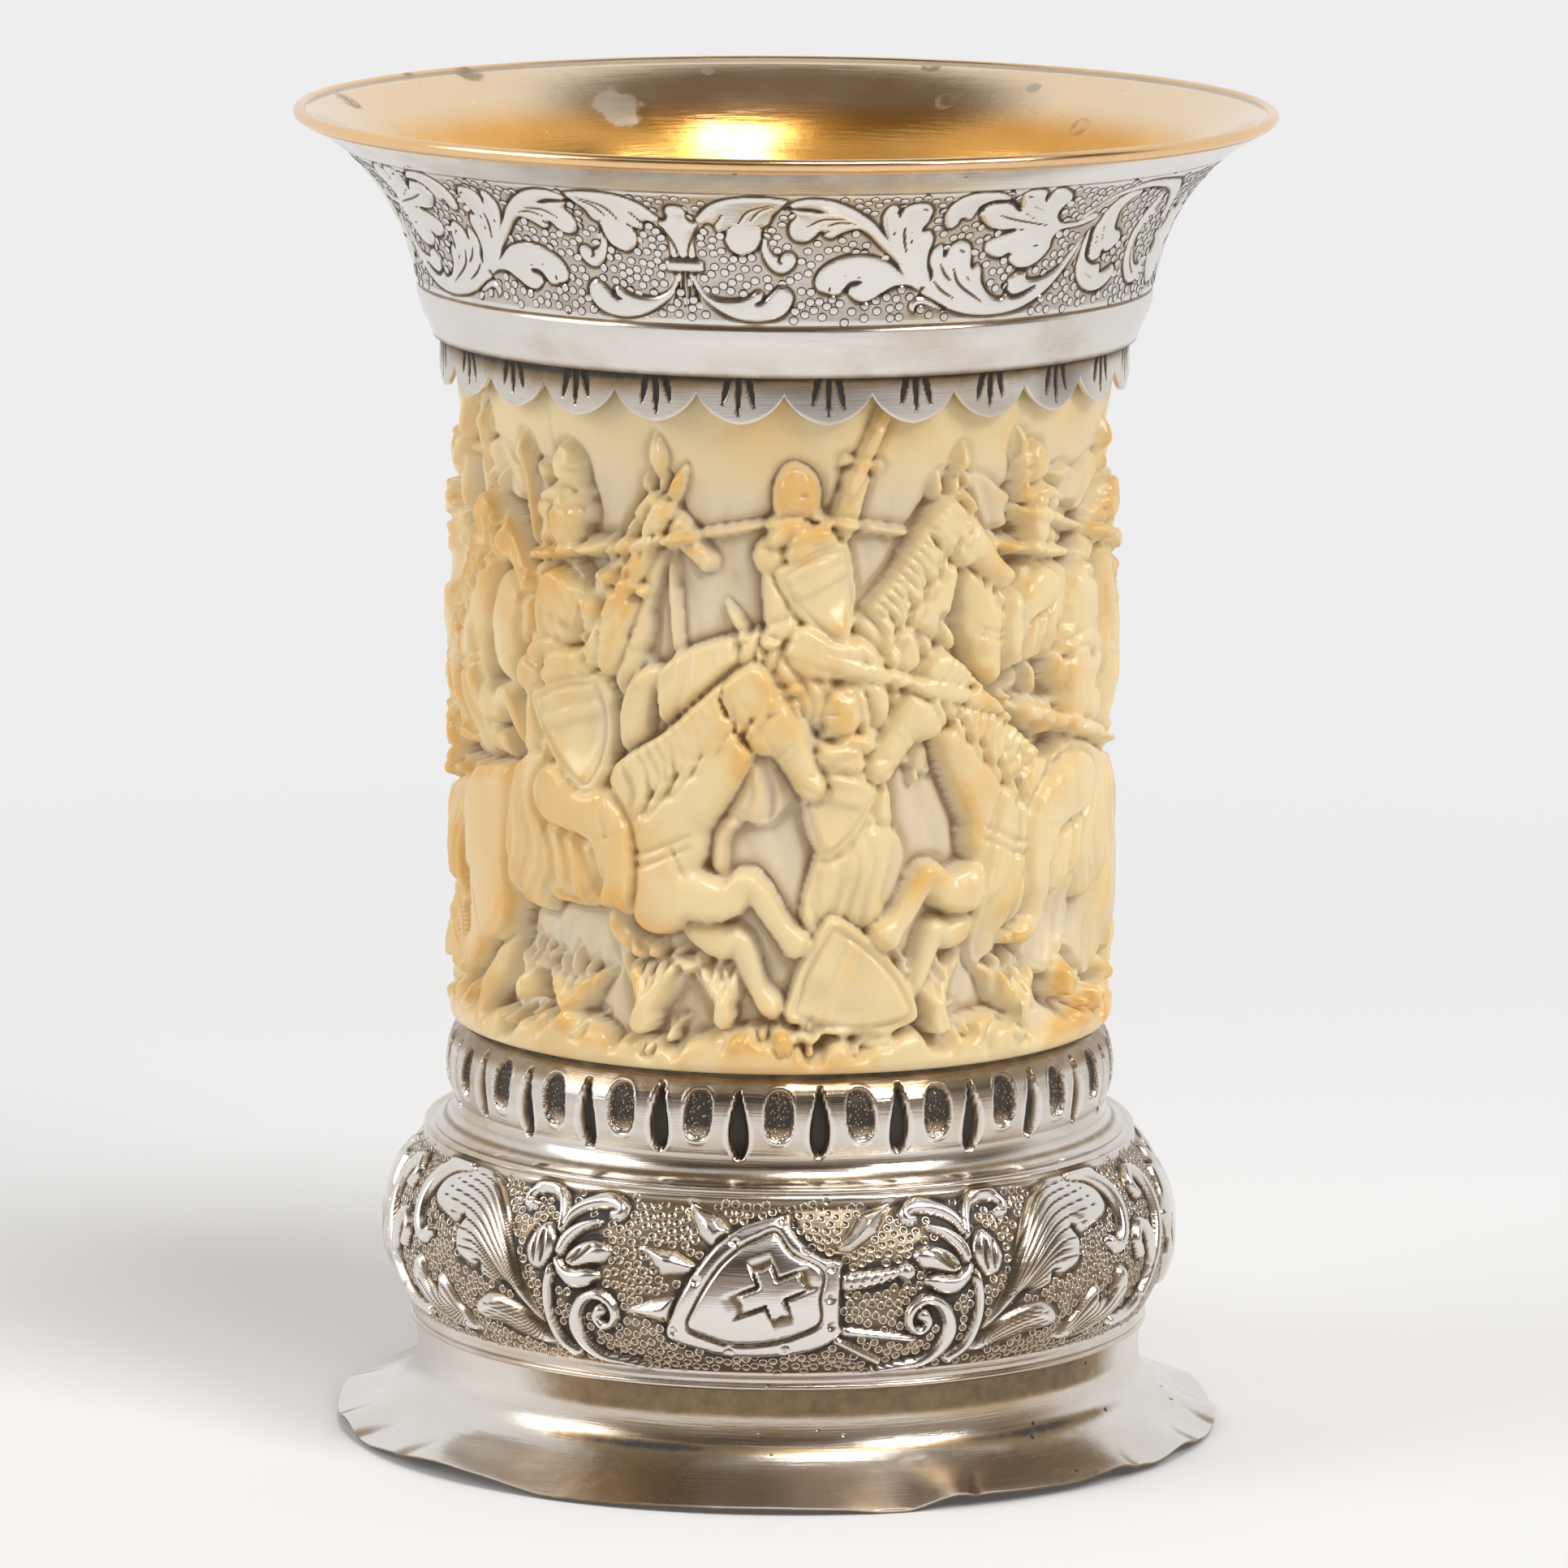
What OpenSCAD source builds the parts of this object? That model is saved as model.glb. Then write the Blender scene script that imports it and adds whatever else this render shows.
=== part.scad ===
// Ivory beaker in silver mounts: a carved sleeve clamped between a flared, gilt-lined
// mouth and a footed base. Millimetres, +Z up, origin on the table under the axis.
// The side with the shield of the base faces -Y.

/* [Ivory sleeve] */
// Outside diameter over the highest carving
sleeve_d = 65.6; // [54:0.2:79]
// Length of the sleeve
sleeve_h = 68; // [54:0.5:84]
// Wall from the bore to the highest carving
sleeve_wall = 5.3; // [4:0.1:7]
// How far the plain top is turned down under the scallops
sleeve_rebate = 0.7; // [0.4:0.1:1.2]
// How far the turned-down top runs past the tips of the scallops
sleeve_rebate_past = 0.6; // [0.3:0.1:2]
// Rounding of the lower edge
sleeve_edge_r = 1; // [0.4:0.1:2]

/* [Mouth] */
// Diameter over the lip wire
mouth_d = 94.6; // [84:0.2:114]
// Diameter of the lip wire
lip_wire_d = 1.2; // [0.8:0.1:1.8]
// Height of the mount from its lower edge to the end of the flare
mount_h = 20.5; // [17:0.1:26]
// Height of its plain lower band
mount_band_h = 4.8; // [3:0.1:7]
// How far the plain band swells out towards the frieze
mount_band_swell = 1.6; // [0.8:0.1:3]
// Sheet thickness of the mount
mount_wall = 0.6; // [0.4:0.1:0.8]
// How far the mount reaches down past the top of the ivory
mount_lap = 1.4; // [0.6:0.1:3]
// Lean of the flare where it leaves the band, from upright
flare_start_deg = 7; // [0:1:20]
// Lean of the flare at the lip, from upright
flare_end_deg = 65; // [45:1:75]

/* [Scalloped band] */
// Number of tongues
tongue_count = 25; // [16:1:32]
// How far the tongues show below the mount
tongue_show = 4.5; // [3.5:0.1:6.5]
// Depth of the notches between tongues
tongue_drop = 2.8; // [1.5:0.1:3.2]
// Radius of each side of a tongue
tongue_r = 5.2; // [5:0.1:8]
// Sheet thickness of the band
band_wall = 0.55; // [0.4:0.05:0.8]
// Space between the band and the ivory
band_clear = 0.55; // [0.2:0.05:0.8]

/* [Gilt liner] */
// Sheet thickness of the liner
liner_wall = 0.65; // [0.5:0.05:0.9]
// Space between the liner and the bore of the ivory
liner_clear = 0.25; // [0.1:0.05:0.6]
// Rounding between wall and floor
liner_corner_r = 4; // [2:0.5:8]
// Thickness of the ring that presses on the top of the ivory
ring_t = 1; // [0.8:0.1:1.6]

/* [Base] */
// Height of the foot up to the lower wire
foot_h = 10.4; // [8.6:0.1:13]
// How far the flange spreads past the cove
foot_spread = 7.5; // [6.5:0.1:10]
// Wall of the foot
foot_wall = 0.7; // [0.5:0.1:1]
// How far the cove drops before it sweeps out
cove_drop = 4.8; // [3.5:0.1:5.5]
// How far the cove draws in as it drops
cove_in = 1.1; // [0:0.1:1.5]
// Slope of the flange at its edge
flange_deg = 22; // [15:1:30]
// How far the flange runs straight in from its edge before it sweeps up
flange_run = 7; // [5:0.1:8]
// Number of waves round the flange
wave_count = 16; // [10:1:20]
// Rise and fall of the waves at the edge
wave_h = 0.9; // [0.5:0.1:1.2]
// Height of the two wires over the seams
fillet_h = 0.6; // [0.4:0.1:1]
// How far the wires stand proud of the drum
fillet_proud = 0.25; // [0.1:0.05:0.5]
// Height of the drum
drum_h = 18; // [15:0.1:22]
// Share of that height below the widest point
drum_belly = 0.46; // [0.4:0.01:0.55]
// How far the widest point stands out from the upper edge
drum_swell = 4.2; // [3:0.1:5.2]
// How far the lower edge draws in from the widest point
drum_tuck = 2.8; // [2:0.1:4]
// Wall of the drum
drum_wall = 0.9; // [0.6:0.1:1.2]

/* [Gadrooned collar] */
// Height of the collar with its concave neck
collar_h = 9.5; // [9:0.1:11.5]
// How far the collar stays inside the sleeve
collar_inset = 0.3; // [0:0.1:1]
// How far the neck draws in from the collar
neck_depth = 0.7; // [0.4:0.1:1]
// Radius of the concave neck
neck_r = 2.5; // [2:0.1:2.8]
// Wall behind the deepest part of the collar
collar_wall = 2.3; // [2:0.1:3]
// Number of ovals, and of slots between them
gadroon_count = 26; // [20:1:30]
// Width of an oval
oval_w = 2.7; // [2:0.1:3.2]
// Height of an oval
oval_h = 4.8; // [4:0.1:5.2]
// Depth of an oval
oval_depth = 0.8; // [0.4:0.1:1]
// Width of a slot at its middle
slot_w = 1.7; // [1:0.1:2]
// Height of a slot
slot_h = 6.7; // [5:0.1:6.8]
// Depth of a slot
slot_depth = 1; // [0.5:0.1:1.2]

/* [Clamp] */
// Thickness of the deck plate
deck_t = 0.9; // [0.7:0.1:1.4]
// How far the deck plate's edge sits inside the sleeve
deck_inset = 1.9; // [1.4:0.1:2.6]
// Height of the ring on the deck that centres the sleeve
spigot_h = 0.8; // [0.5:0.1:1]
// Width of that ring
spigot_w = 2.5; // [1.5:0.1:4]
// Diameter of the threaded stud
stud_d = 5; // [4:0.1:6.4]
// Length of the stud
stud_l = 10; // [8.5:0.5:14]
// Diameter of the plate under the liner
stud_plate_d = 24; // [16:1:30]
// Thickness of that plate
stud_plate_t = 0.8; // [0.6:0.1:1.2]
// Diameter of the washer
washer_d = 18; // [14:1:24]
// Thickness of the washer
washer_t = 1; // [0.8:0.1:1.6]
// Width of the square nut
nut_w = 9; // [8:0.5:12]
// Height of the square nut
nut_h = 4; // [3:0.5:5]
// Space round the stud in the deck and the washer
stud_clear = 0.3; // [0.15:0.05:0.5]

/* [Hidden] */
$fn = 96;
// Soldered joints, and the thread in its nut, keep this hair of space
solder_gap = 0.05;
// Space under the liner's plate, so that the clamp bears on the ivory
clamp_gap = 0.4;
// How deep the wave troughs are rubbed flat where they stand on the table, as a share of the wave
rest_share = 0.5;
// How far cutters run past what they cut
past = 1;
// Steps along a curve and round one wave of the flange
curve_steps = 16;
wave_steps = 8;
// Pull of the flare's end tangents, as a share of the straight line between its ends
flare_pull = 0.355;
// Pull of the band's and the shoulder's tangents
band_pull = 0.35;
shoulder_pull = 0.45;
// Where along the flare the liner leaves the mount and turns in to its wall
shoulder_at = 0.5;
// Where along the foot the waves begin
wave_from = 0.45;
// How much shorter the steps along the foot grow towards its edge
edge_bias = 1.4;
// Half the width of the cut between tongues, in pitches, which leaves each tip blunt
tongue_reach = 0.485;
// Polished strip between the slots and the neck
slot_foot = 0.15;
// Width of the wires inside the drum's outline
fillet_w = 1.1;

// Radii from the axis outwards
sleeve_r = sleeve_d / 2;
bore_r = sleeve_r - sleeve_wall;
liner_r = bore_r - liner_clear;
sleeve_top_r = sleeve_r - sleeve_rebate;
band_in_r = sleeve_top_r + band_clear;
band_out_r = band_in_r + band_wall;
skirt_r = band_out_r + solder_gap + mount_wall;
frieze_r = skirt_r + mount_band_swell;
collar_r = sleeve_r - collar_inset;
collar_in_r = collar_r - collar_wall;
deck_r = sleeve_r - deck_inset;
drum_top_r = collar_r - neck_depth + neck_r;
drum_r = drum_top_r + drum_swell;
drum_foot_r = drum_r - drum_tuck;
cove_r = drum_foot_r - fillet_proud;
foot_r = cove_r + foot_spread;

// Levels from the table upwards
drum_z = foot_h + fillet_h;
belly_z = drum_z + drum_belly * drum_h;
drum_top_z = drum_z + drum_h;
collar_z = drum_top_z + fillet_h;
neck_z = collar_z + neck_r;
deck_z = collar_z + collar_h;
sleeve_z = deck_z + deck_t;
liner_z = sleeve_z + clamp_gap + stud_plate_t;
ring_z = sleeve_z + sleeve_h;
mount_z = ring_z - mount_lap;
band_top_z = ring_z + ring_t;
tip_z = mount_z - tongue_show;
frieze_z = mount_z + mount_band_h;
flare_end_z = mount_z + mount_h;

// The lip wire closes the ends of the mount and the liner
lip_stack = mount_wall + solder_gap + liner_wall;
lip_reach = lip_wire_d / 2 + solder_gap;
along_lip = [sin(flare_end_deg), cos(flare_end_deg)];
across_lip = [-along_lip[1], along_lip[0]];
lip_shift = across_lip * lip_stack / 2 + along_lip * lip_reach;
lip_r = (mouth_d - lip_wire_d) / 2;
flare_end_r = lip_r - lip_shift[0];

silver = "silver";
gilt = "goldenrod";

// Point at t on a cubic curve between p[0] and p[3], and points in even steps along it
function curve_at(p, t) = let (s = 1 - t)
    s * s * s * p[0] + 3 * s * s * t * p[1] + 3 * s * t * t * p[2] + t * t * t * p[3];
function curve(p, steps) = [for (i = [0:steps]) curve_at(p, i / steps)];

// An open line moved sideways to its left by w
function beside(line, w) = [for (i = [0:len(line) - 1])
    let (step = line[min(i + 1, len(line) - 1)] - line[max(i - 1, 0)])
    line[i] + w * [-step[1], step[0]] / norm(step)];

function reversed(list) = [for (i = [len(list) - 1:-1:0]) list[i]];

// Sheet of thickness wall on the left side of an open line
function sheet(line, wall) = concat(line, reversed(beside(line, wall)));

function rise(deg, length) = length * [sin(deg), cos(deg)];

// Outer face of the mount, from its lower edge to the lip
frieze_foot = [frieze_r, frieze_z];
flare_end = [flare_end_r, flare_end_z];
flare_reach = flare_pull * norm(flare_end - frieze_foot);
flare_line = curve([frieze_foot, frieze_foot + rise(flare_start_deg, flare_reach),
    flare_end - rise(flare_end_deg, flare_reach), flare_end], curve_steps);
band_foot = [skirt_r, mount_z];
band_reach = band_pull * mount_band_h;
band_line = curve([band_foot, band_foot + [band_pull * mount_band_swell, band_reach],
    frieze_foot - [0, band_reach], frieze_foot], curve_steps);
mount_line = concat(band_line, [for (i = [1:curve_steps]) flare_line[i]]);

// Outer face of the liner: floor, wall, shoulder and the flare inside the mount
liner_flare = beside(flare_line, mount_wall + solder_gap);
shoulder_i = round(shoulder_at * curve_steps);
shoulder_top = liner_flare[shoulder_i];
shoulder_foot = [liner_r, band_top_z];
shoulder_reach = shoulder_pull * norm(shoulder_top - shoulder_foot);
shoulder_step = liner_flare[shoulder_i + 1] - shoulder_top;
liner_line = concat(
    [[0, liner_z]],
    [for (i = [0:curve_steps]) [liner_r - liner_corner_r, liner_z + liner_corner_r]
        + liner_corner_r * [sin(90 * i / curve_steps), -cos(90 * i / curve_steps)]],
    curve([shoulder_foot, shoulder_foot + [0, shoulder_reach],
        shoulder_top - shoulder_reach * shoulder_step / norm(shoulder_step), shoulder_top], curve_steps),
    [for (i = [shoulder_i + 1:curve_steps]) liner_flare[i]]);

// Outer face of the foot, from the lower wire to the edge of the flange
foot_edge = [foot_r, wave_h * (1 - rest_share) + foot_wall * cos(flange_deg)];
foot_steps = [for (i = [0:curve_steps]) 1 - pow(1 - i / curve_steps, edge_bias)];
foot_line = [for (t = foot_steps) curve_at([[cove_r, foot_h], [cove_r - cove_in, foot_h - cove_drop],
    foot_edge + flange_run * [-cos(flange_deg), sin(flange_deg)], foot_edge], t)];

// Share of the full wave height at t along the foot
function wave_share(t) = let (u = max(0, (t - wave_from) / (1 - wave_from))) u * u * (3 - 2 * u);

module tube(r_out, r_in, z, h) {
    translate([0, 0, z])
        difference() {
            cylinder(r = r_out, h = h);
            translate([0, 0, -past])
                cylinder(r = r_in, h = h + 2 * past);
        }
}

// Turns a flat shape into copies that point outwards from radius r, centred at height z
module around(count, r, z, turn = 0) {
    for (i = [0:count - 1])
        rotate([0, 0, (i + turn) * 360 / count - 90])
            translate([r, 0, z])
                rotate([90, 0, 90])
                    linear_extrude(height = 2 * past + slot_depth)
                        children();
}

module lip_wire() {
    color(gilt)
        rotate_extrude()
            translate(flare_end + lip_shift)
                circle(d = lip_wire_d, $fn = 32);
}

module rim_mount() {
    color(silver)
        rotate_extrude()
            polygon(sheet(mount_line, mount_wall));
}

// Space between two tongues, with its point at the origin
module notch(pitch, drop) {
    tip = [-pitch / 2, -drop];
    chord = norm(tip);
    lean = sqrt(tongue_r * tongue_r - chord * chord / 4) / chord;
    centre = tip / 2 + lean * [tip[1], -tip[0]];
    difference() {
        translate([-tongue_reach * pitch, -drop - past])
            square([2 * tongue_reach * pitch, drop + 2 * past]);
        for (side = [1, -1])
            translate([side * centre[0], centre[1]])
                circle(tongue_r);
    }
}

module scalloped_band() {
    pitch = 2 * band_out_r * tan(180 / tongue_count);
    cut_r = sqrt(band_in_r * band_in_r - pitch * pitch / 4) - solder_gap;
    color(silver)
        difference() {
            tube(band_out_r, band_in_r, tip_z, band_top_z - tip_z);
            around(tongue_count, cut_r, tip_z + tongue_drop)
                notch(pitch, tongue_drop);
        }
}

module gilt_liner() {
    color(gilt)
        rotate_extrude()
            polygon(sheet(liner_line, liner_wall));
}

module bearing_ring() {
    color(silver)
        tube(band_in_r - solder_gap, liner_r + solder_gap, ring_z, ring_t);
}

module ivory_sleeve() {
    rebate_z = tip_z - sleeve_rebate_past;
    color("wheat")
        rotate_extrude()
            difference() {
                union() {
                    translate([bore_r, sleeve_z])
                        square([sleeve_top_r - bore_r, sleeve_h]);
                    translate([bore_r, sleeve_z])
                        square([sleeve_wall - sleeve_edge_r, rebate_z - sleeve_z]);
                    translate([bore_r, sleeve_z + sleeve_edge_r])
                        square([sleeve_wall, rebate_z - sleeve_z - sleeve_edge_r]);
                    translate([sleeve_r - sleeve_edge_r, sleeve_z + sleeve_edge_r])
                        circle(sleeve_edge_r);
                }
                translate([sleeve_r, rebate_z])
                    rotate(45)
                        square(sleeve_rebate, center = true);
            }
}

module deck_plate() {
    hole_r = stud_d / 2 + stud_clear;
    spigot_r = bore_r - liner_clear;
    color(silver)
        union() {
            tube(deck_r, hole_r, deck_z, deck_t);
            tube(spigot_r, spigot_r - spigot_w, deck_z, deck_t + spigot_h);
        }
}

module collar_section() {
    swell_z = (neck_z + deck_z) / 2;
    swell_h = deck_z - neck_z;
    round_r = (swell_h * swell_h / 4 + neck_depth * neck_depth) / (2 * neck_depth);
    intersection() {
        translate([collar_r - round_r, swell_z])
            circle(round_r);
        translate([collar_in_r, neck_z])
            square([collar_wall + past, swell_h]);
    }
    difference() {
        translate([collar_in_r, collar_z])
            square([drum_top_r - collar_in_r, neck_r]);
        translate([drum_top_r, neck_z])
            circle(neck_r);
    }
    translate([bore_r, deck_z - deck_t])
        square([collar_r - neck_depth - bore_r, deck_t]);
}

module oval() {
    half = (oval_h - oval_w) / 2;
    square([oval_w, 2 * half], center = true);
    for (side = [1, -1])
        translate([0, side * half])
            circle(d = oval_w);
}

module spear() {
    round_r = (slot_h * slot_h + slot_w * slot_w) / (4 * slot_w);
    intersection_for (side = [1, -1])
        translate([side * (round_r - slot_w / 2), 0])
            circle(round_r);
}

module gadrooned_collar() {
    color(silver)
        difference() {
            rotate_extrude()
                collar_section();
            around(gadroon_count, collar_r - oval_depth, deck_z - deck_t / 2 - oval_h / 2)
                oval();
            around(gadroon_count, collar_r - slot_depth, neck_z + slot_foot + slot_h / 2, 0.5)
                spear();
        }
}

// Wire with a round outer edge that covers a seam of radius r
module fillet_wire(r, z) {
    nose = r + fillet_proud - fillet_h / 2;
    color(silver)
        rotate_extrude() {
            translate([r - fillet_w, z])
                square([nose - r + fillet_w, fillet_h]);
            translate([nose, z + fillet_h / 2])
                circle(d = fillet_h, $fn = 32);
        }
}

module upper_fillet_wire() {
    fillet_wire(drum_top_r, drum_top_z);
}

module lower_fillet_wire() {
    fillet_wire(drum_foot_r, foot_h);
}

// Part of the drum's wall: a ring of the radius that draws in by tuck over the height h
module drum_arc(h, tuck, z) {
    round_r = (h * h + tuck * tuck) / (2 * tuck);
    intersection() {
        translate([drum_r - round_r, belly_z])
            difference() {
                circle(round_r);
                circle(round_r - drum_wall);
            }
        translate([drum_r - tuck - 2 * drum_wall, z])
            square([tuck + 3 * drum_wall, h]);
    }
}

module embossed_drum() {
    color(silver)
        rotate_extrude() {
            drum_arc(drum_top_z - belly_z, drum_swell, belly_z);
            drum_arc(belly_z - drum_z, drum_tuck, drum_z);
        }
}

module foot_flange() {
    outer = foot_line;
    inner = beside(foot_line, -foot_wall);
    loop = concat(outer, reversed(inner));
    share = [for (t = foot_steps) wave_share(t)];
    lift = wave_h * concat(share, reversed(share));
    columns = wave_count * wave_steps;
    rows = len(loop);
    points = [for (c = [0:columns - 1]) let (a = 360 * c / columns, wave = cos(wave_count * a))
        for (r = [0:rows - 1])
            [loop[r][0] * sin(a), -loop[r][0] * cos(a), min(foot_h, max(0, loop[r][1] + lift[r] * wave))]];
    faces = [for (c = [0:columns - 1], r = [0:rows - 1])
        let (c2 = (c + 1) % columns, r2 = (r + 1) % rows,
            a = c * rows + r, b = c * rows + r2, d = c2 * rows + r, e = c2 * rows + r2)
        each [[a, e, b], [a, d, e]]];
    color(silver)
        polyhedron(points, faces, convexity = 6);
}

module stud_plate() {
    color(silver)
        translate([0, 0, liner_z - stud_plate_t])
            cylinder(d = stud_plate_d, h = stud_plate_t);
}

module draw_stud() {
    color(silver)
        translate([0, 0, liner_z - stud_plate_t - stud_l])
            cylinder(d = stud_d, h = stud_l);
}

module clamp_washer() {
    color(silver)
        tube(washer_d / 2, stud_d / 2 + stud_clear, deck_z - washer_t, washer_t);
}

module clamp_nut() {
    nut_z = deck_z - washer_t - nut_h;
    color(silver)
        difference() {
            translate([-nut_w / 2, -nut_w / 2, nut_z])
                cube([nut_w, nut_w, nut_h]);
            translate([0, 0, nut_z - past])
                cylinder(d = stud_d + 2 * solder_gap, h = nut_h + 2 * past);
        }
}

lip_wire();
rim_mount();
scalloped_band();
gilt_liner();
bearing_ring();
ivory_sleeve();
deck_plate();
gadrooned_collar();
upper_fillet_wire();
embossed_drum();
lower_fillet_wire();
foot_flange();
stud_plate();
draw_stud();
clamp_washer();
clamp_nut();
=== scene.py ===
"""Silver-mounted ivory beaker: carved sleeve, chased mouth, embossed base, built round the CAD frame."""

import math

import bmesh
import bpy
import numpy as np
from bpy.props import FloatProperty, FloatVectorProperty, IntProperty, PointerProperty
from mathutils import Matrix, Vector


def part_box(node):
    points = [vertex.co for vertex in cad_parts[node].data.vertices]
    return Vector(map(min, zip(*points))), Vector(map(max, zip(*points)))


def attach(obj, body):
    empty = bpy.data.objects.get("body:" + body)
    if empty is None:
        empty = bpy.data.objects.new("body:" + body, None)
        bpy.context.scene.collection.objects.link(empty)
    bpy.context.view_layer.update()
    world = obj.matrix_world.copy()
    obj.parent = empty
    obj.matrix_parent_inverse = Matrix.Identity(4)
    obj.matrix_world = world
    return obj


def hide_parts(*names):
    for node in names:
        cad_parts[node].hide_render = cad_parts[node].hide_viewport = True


bl_info = {
    "name": "Silver-Mounted Ivory Beaker",
    "version": (1, 0, 0),
    "blender": (4, 5, 0),
    "location": "View3D > Sidebar > Beaker",
    "description": "Builds the carved, chased and embossed pieces of the beaker and its studio",
    "category": "Object",
}

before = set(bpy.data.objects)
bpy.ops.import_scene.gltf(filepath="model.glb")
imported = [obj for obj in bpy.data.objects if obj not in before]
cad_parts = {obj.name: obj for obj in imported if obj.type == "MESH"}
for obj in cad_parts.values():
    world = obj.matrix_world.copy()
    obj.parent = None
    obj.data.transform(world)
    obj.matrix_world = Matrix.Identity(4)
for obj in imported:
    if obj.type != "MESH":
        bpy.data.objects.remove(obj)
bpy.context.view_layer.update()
MM = 0.001
# The clasp of the mouth's frieze and the shield of the base stand this far from the front, in degrees.
CLASP_AT = -14.7
SHIELD_AT = -2.5
# Depth of the carving in the ivory, in millimetres.
CARVED = 4.2


def node_mm(node):
    """Largest radius, lowest and highest point of a CAD node, in millimetres."""
    low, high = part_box(node)
    return high.x / MM, low.z / MM, high.z / MM


# Curves and distances on a surface laid flat.


def curve_through(points, closed=False, steps=6):
    """A smooth curve through the given points, which may carry a radius as a third number."""
    p = np.asarray(points, float)
    if closed:
        ends = np.vstack([p[-1:], p, p[:2]])
    else:
        ends = np.vstack([2 * p[:1] - p[1:2], p, 2 * p[-1:] - p[-2:-1]])
    a, b, c, d = ends[:-3], ends[1:-2], ends[2:-1], ends[3:]
    out = []
    for t in np.arange(steps) / steps:
        out.append(b + 0.5 * t * (c - a + t * (2 * a - 5 * b + 4 * c - d + t * (3 * (b - c) + d - a))))
    curve = np.stack(out, 1).reshape(-1, p.shape[1])
    return curve if closed else np.vstack([curve, p[-1:]])


def bezier(points, count):
    """Points along a cubic curve with four control points."""
    p = np.asarray(points, float)
    t = np.linspace(0, 1, count)[:, None]
    s = 1 - t
    return s**3 * p[0] + 3 * s * s * t * p[1] + 3 * s * t * t * p[2] + t**3 * p[3]


def spaced(points, spacing):
    """The same line with its points evenly spaced."""
    points = np.asarray(points, float)
    run = np.concatenate([[0], np.cumsum(np.hypot(*np.diff(points, axis=0).T))])
    at = np.linspace(0, run[-1], max(2, round(run[-1] / spacing) + 1))
    return np.stack([np.interp(at, run, points[:, 0]), np.interp(at, run, points[:, 1])], 1)


def ramp(value, low, high):
    """0 below low, 1 above high and a soft step between."""
    t = np.clip((value - low) / (high - low), 0, 1)
    return t * t * (3 - 2 * t)


def bell(away, width):
    """1 where away is 0, falling off over about that width."""
    return np.exp(-((away / width) ** 2))


def to_outline(x, y, outline):
    """Distance of each cell from a closed outline, negative inside."""
    best = np.full(np.broadcast(x, y).shape, 1e9)
    inside = np.zeros(best.shape, bool)
    for (ax, ay), (bx, by) in zip(outline, np.roll(outline, -1, 0)):
        dx, dy = bx - ax, by - ay
        t = np.clip(((x - ax) * dx + (y - ay) * dy) / (dx * dx + dy * dy + 1e-12), 0, 1)
        best = np.minimum(best, (x - ax - dx * t) ** 2 + (y - ay - dy * t) ** 2)
        if ay != by:
            inside ^= ((ay > y) != (by > y)) & (x < ax + (y - ay) * dx / dy)
    return np.where(inside, -1, 1) * np.sqrt(best)


def to_chain(x, y, chain):
    """Distance of each cell from a tapering line, in radii of the line, and the radius there."""
    shape = np.broadcast(x, y).shape
    best, radius = np.full(shape, 1e9), np.ones(shape)
    for (ax, ay, ar), (bx, by, br) in zip(chain[:-1], chain[1:]):
        dx, dy = bx - ax, by - ay
        t = np.clip(((x - ax) * dx + (y - ay) * dy) / (dx * dx + dy * dy + 1e-12), 0, 1)
        r = ar + (br - ar) * t
        q = np.hypot(x - ax - dx * t, y - ay - dy * t) / r
        closer = q < best
        best = np.where(closer, q, best)
        radius = np.where(closer, r, radius)
    return best, radius


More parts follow.
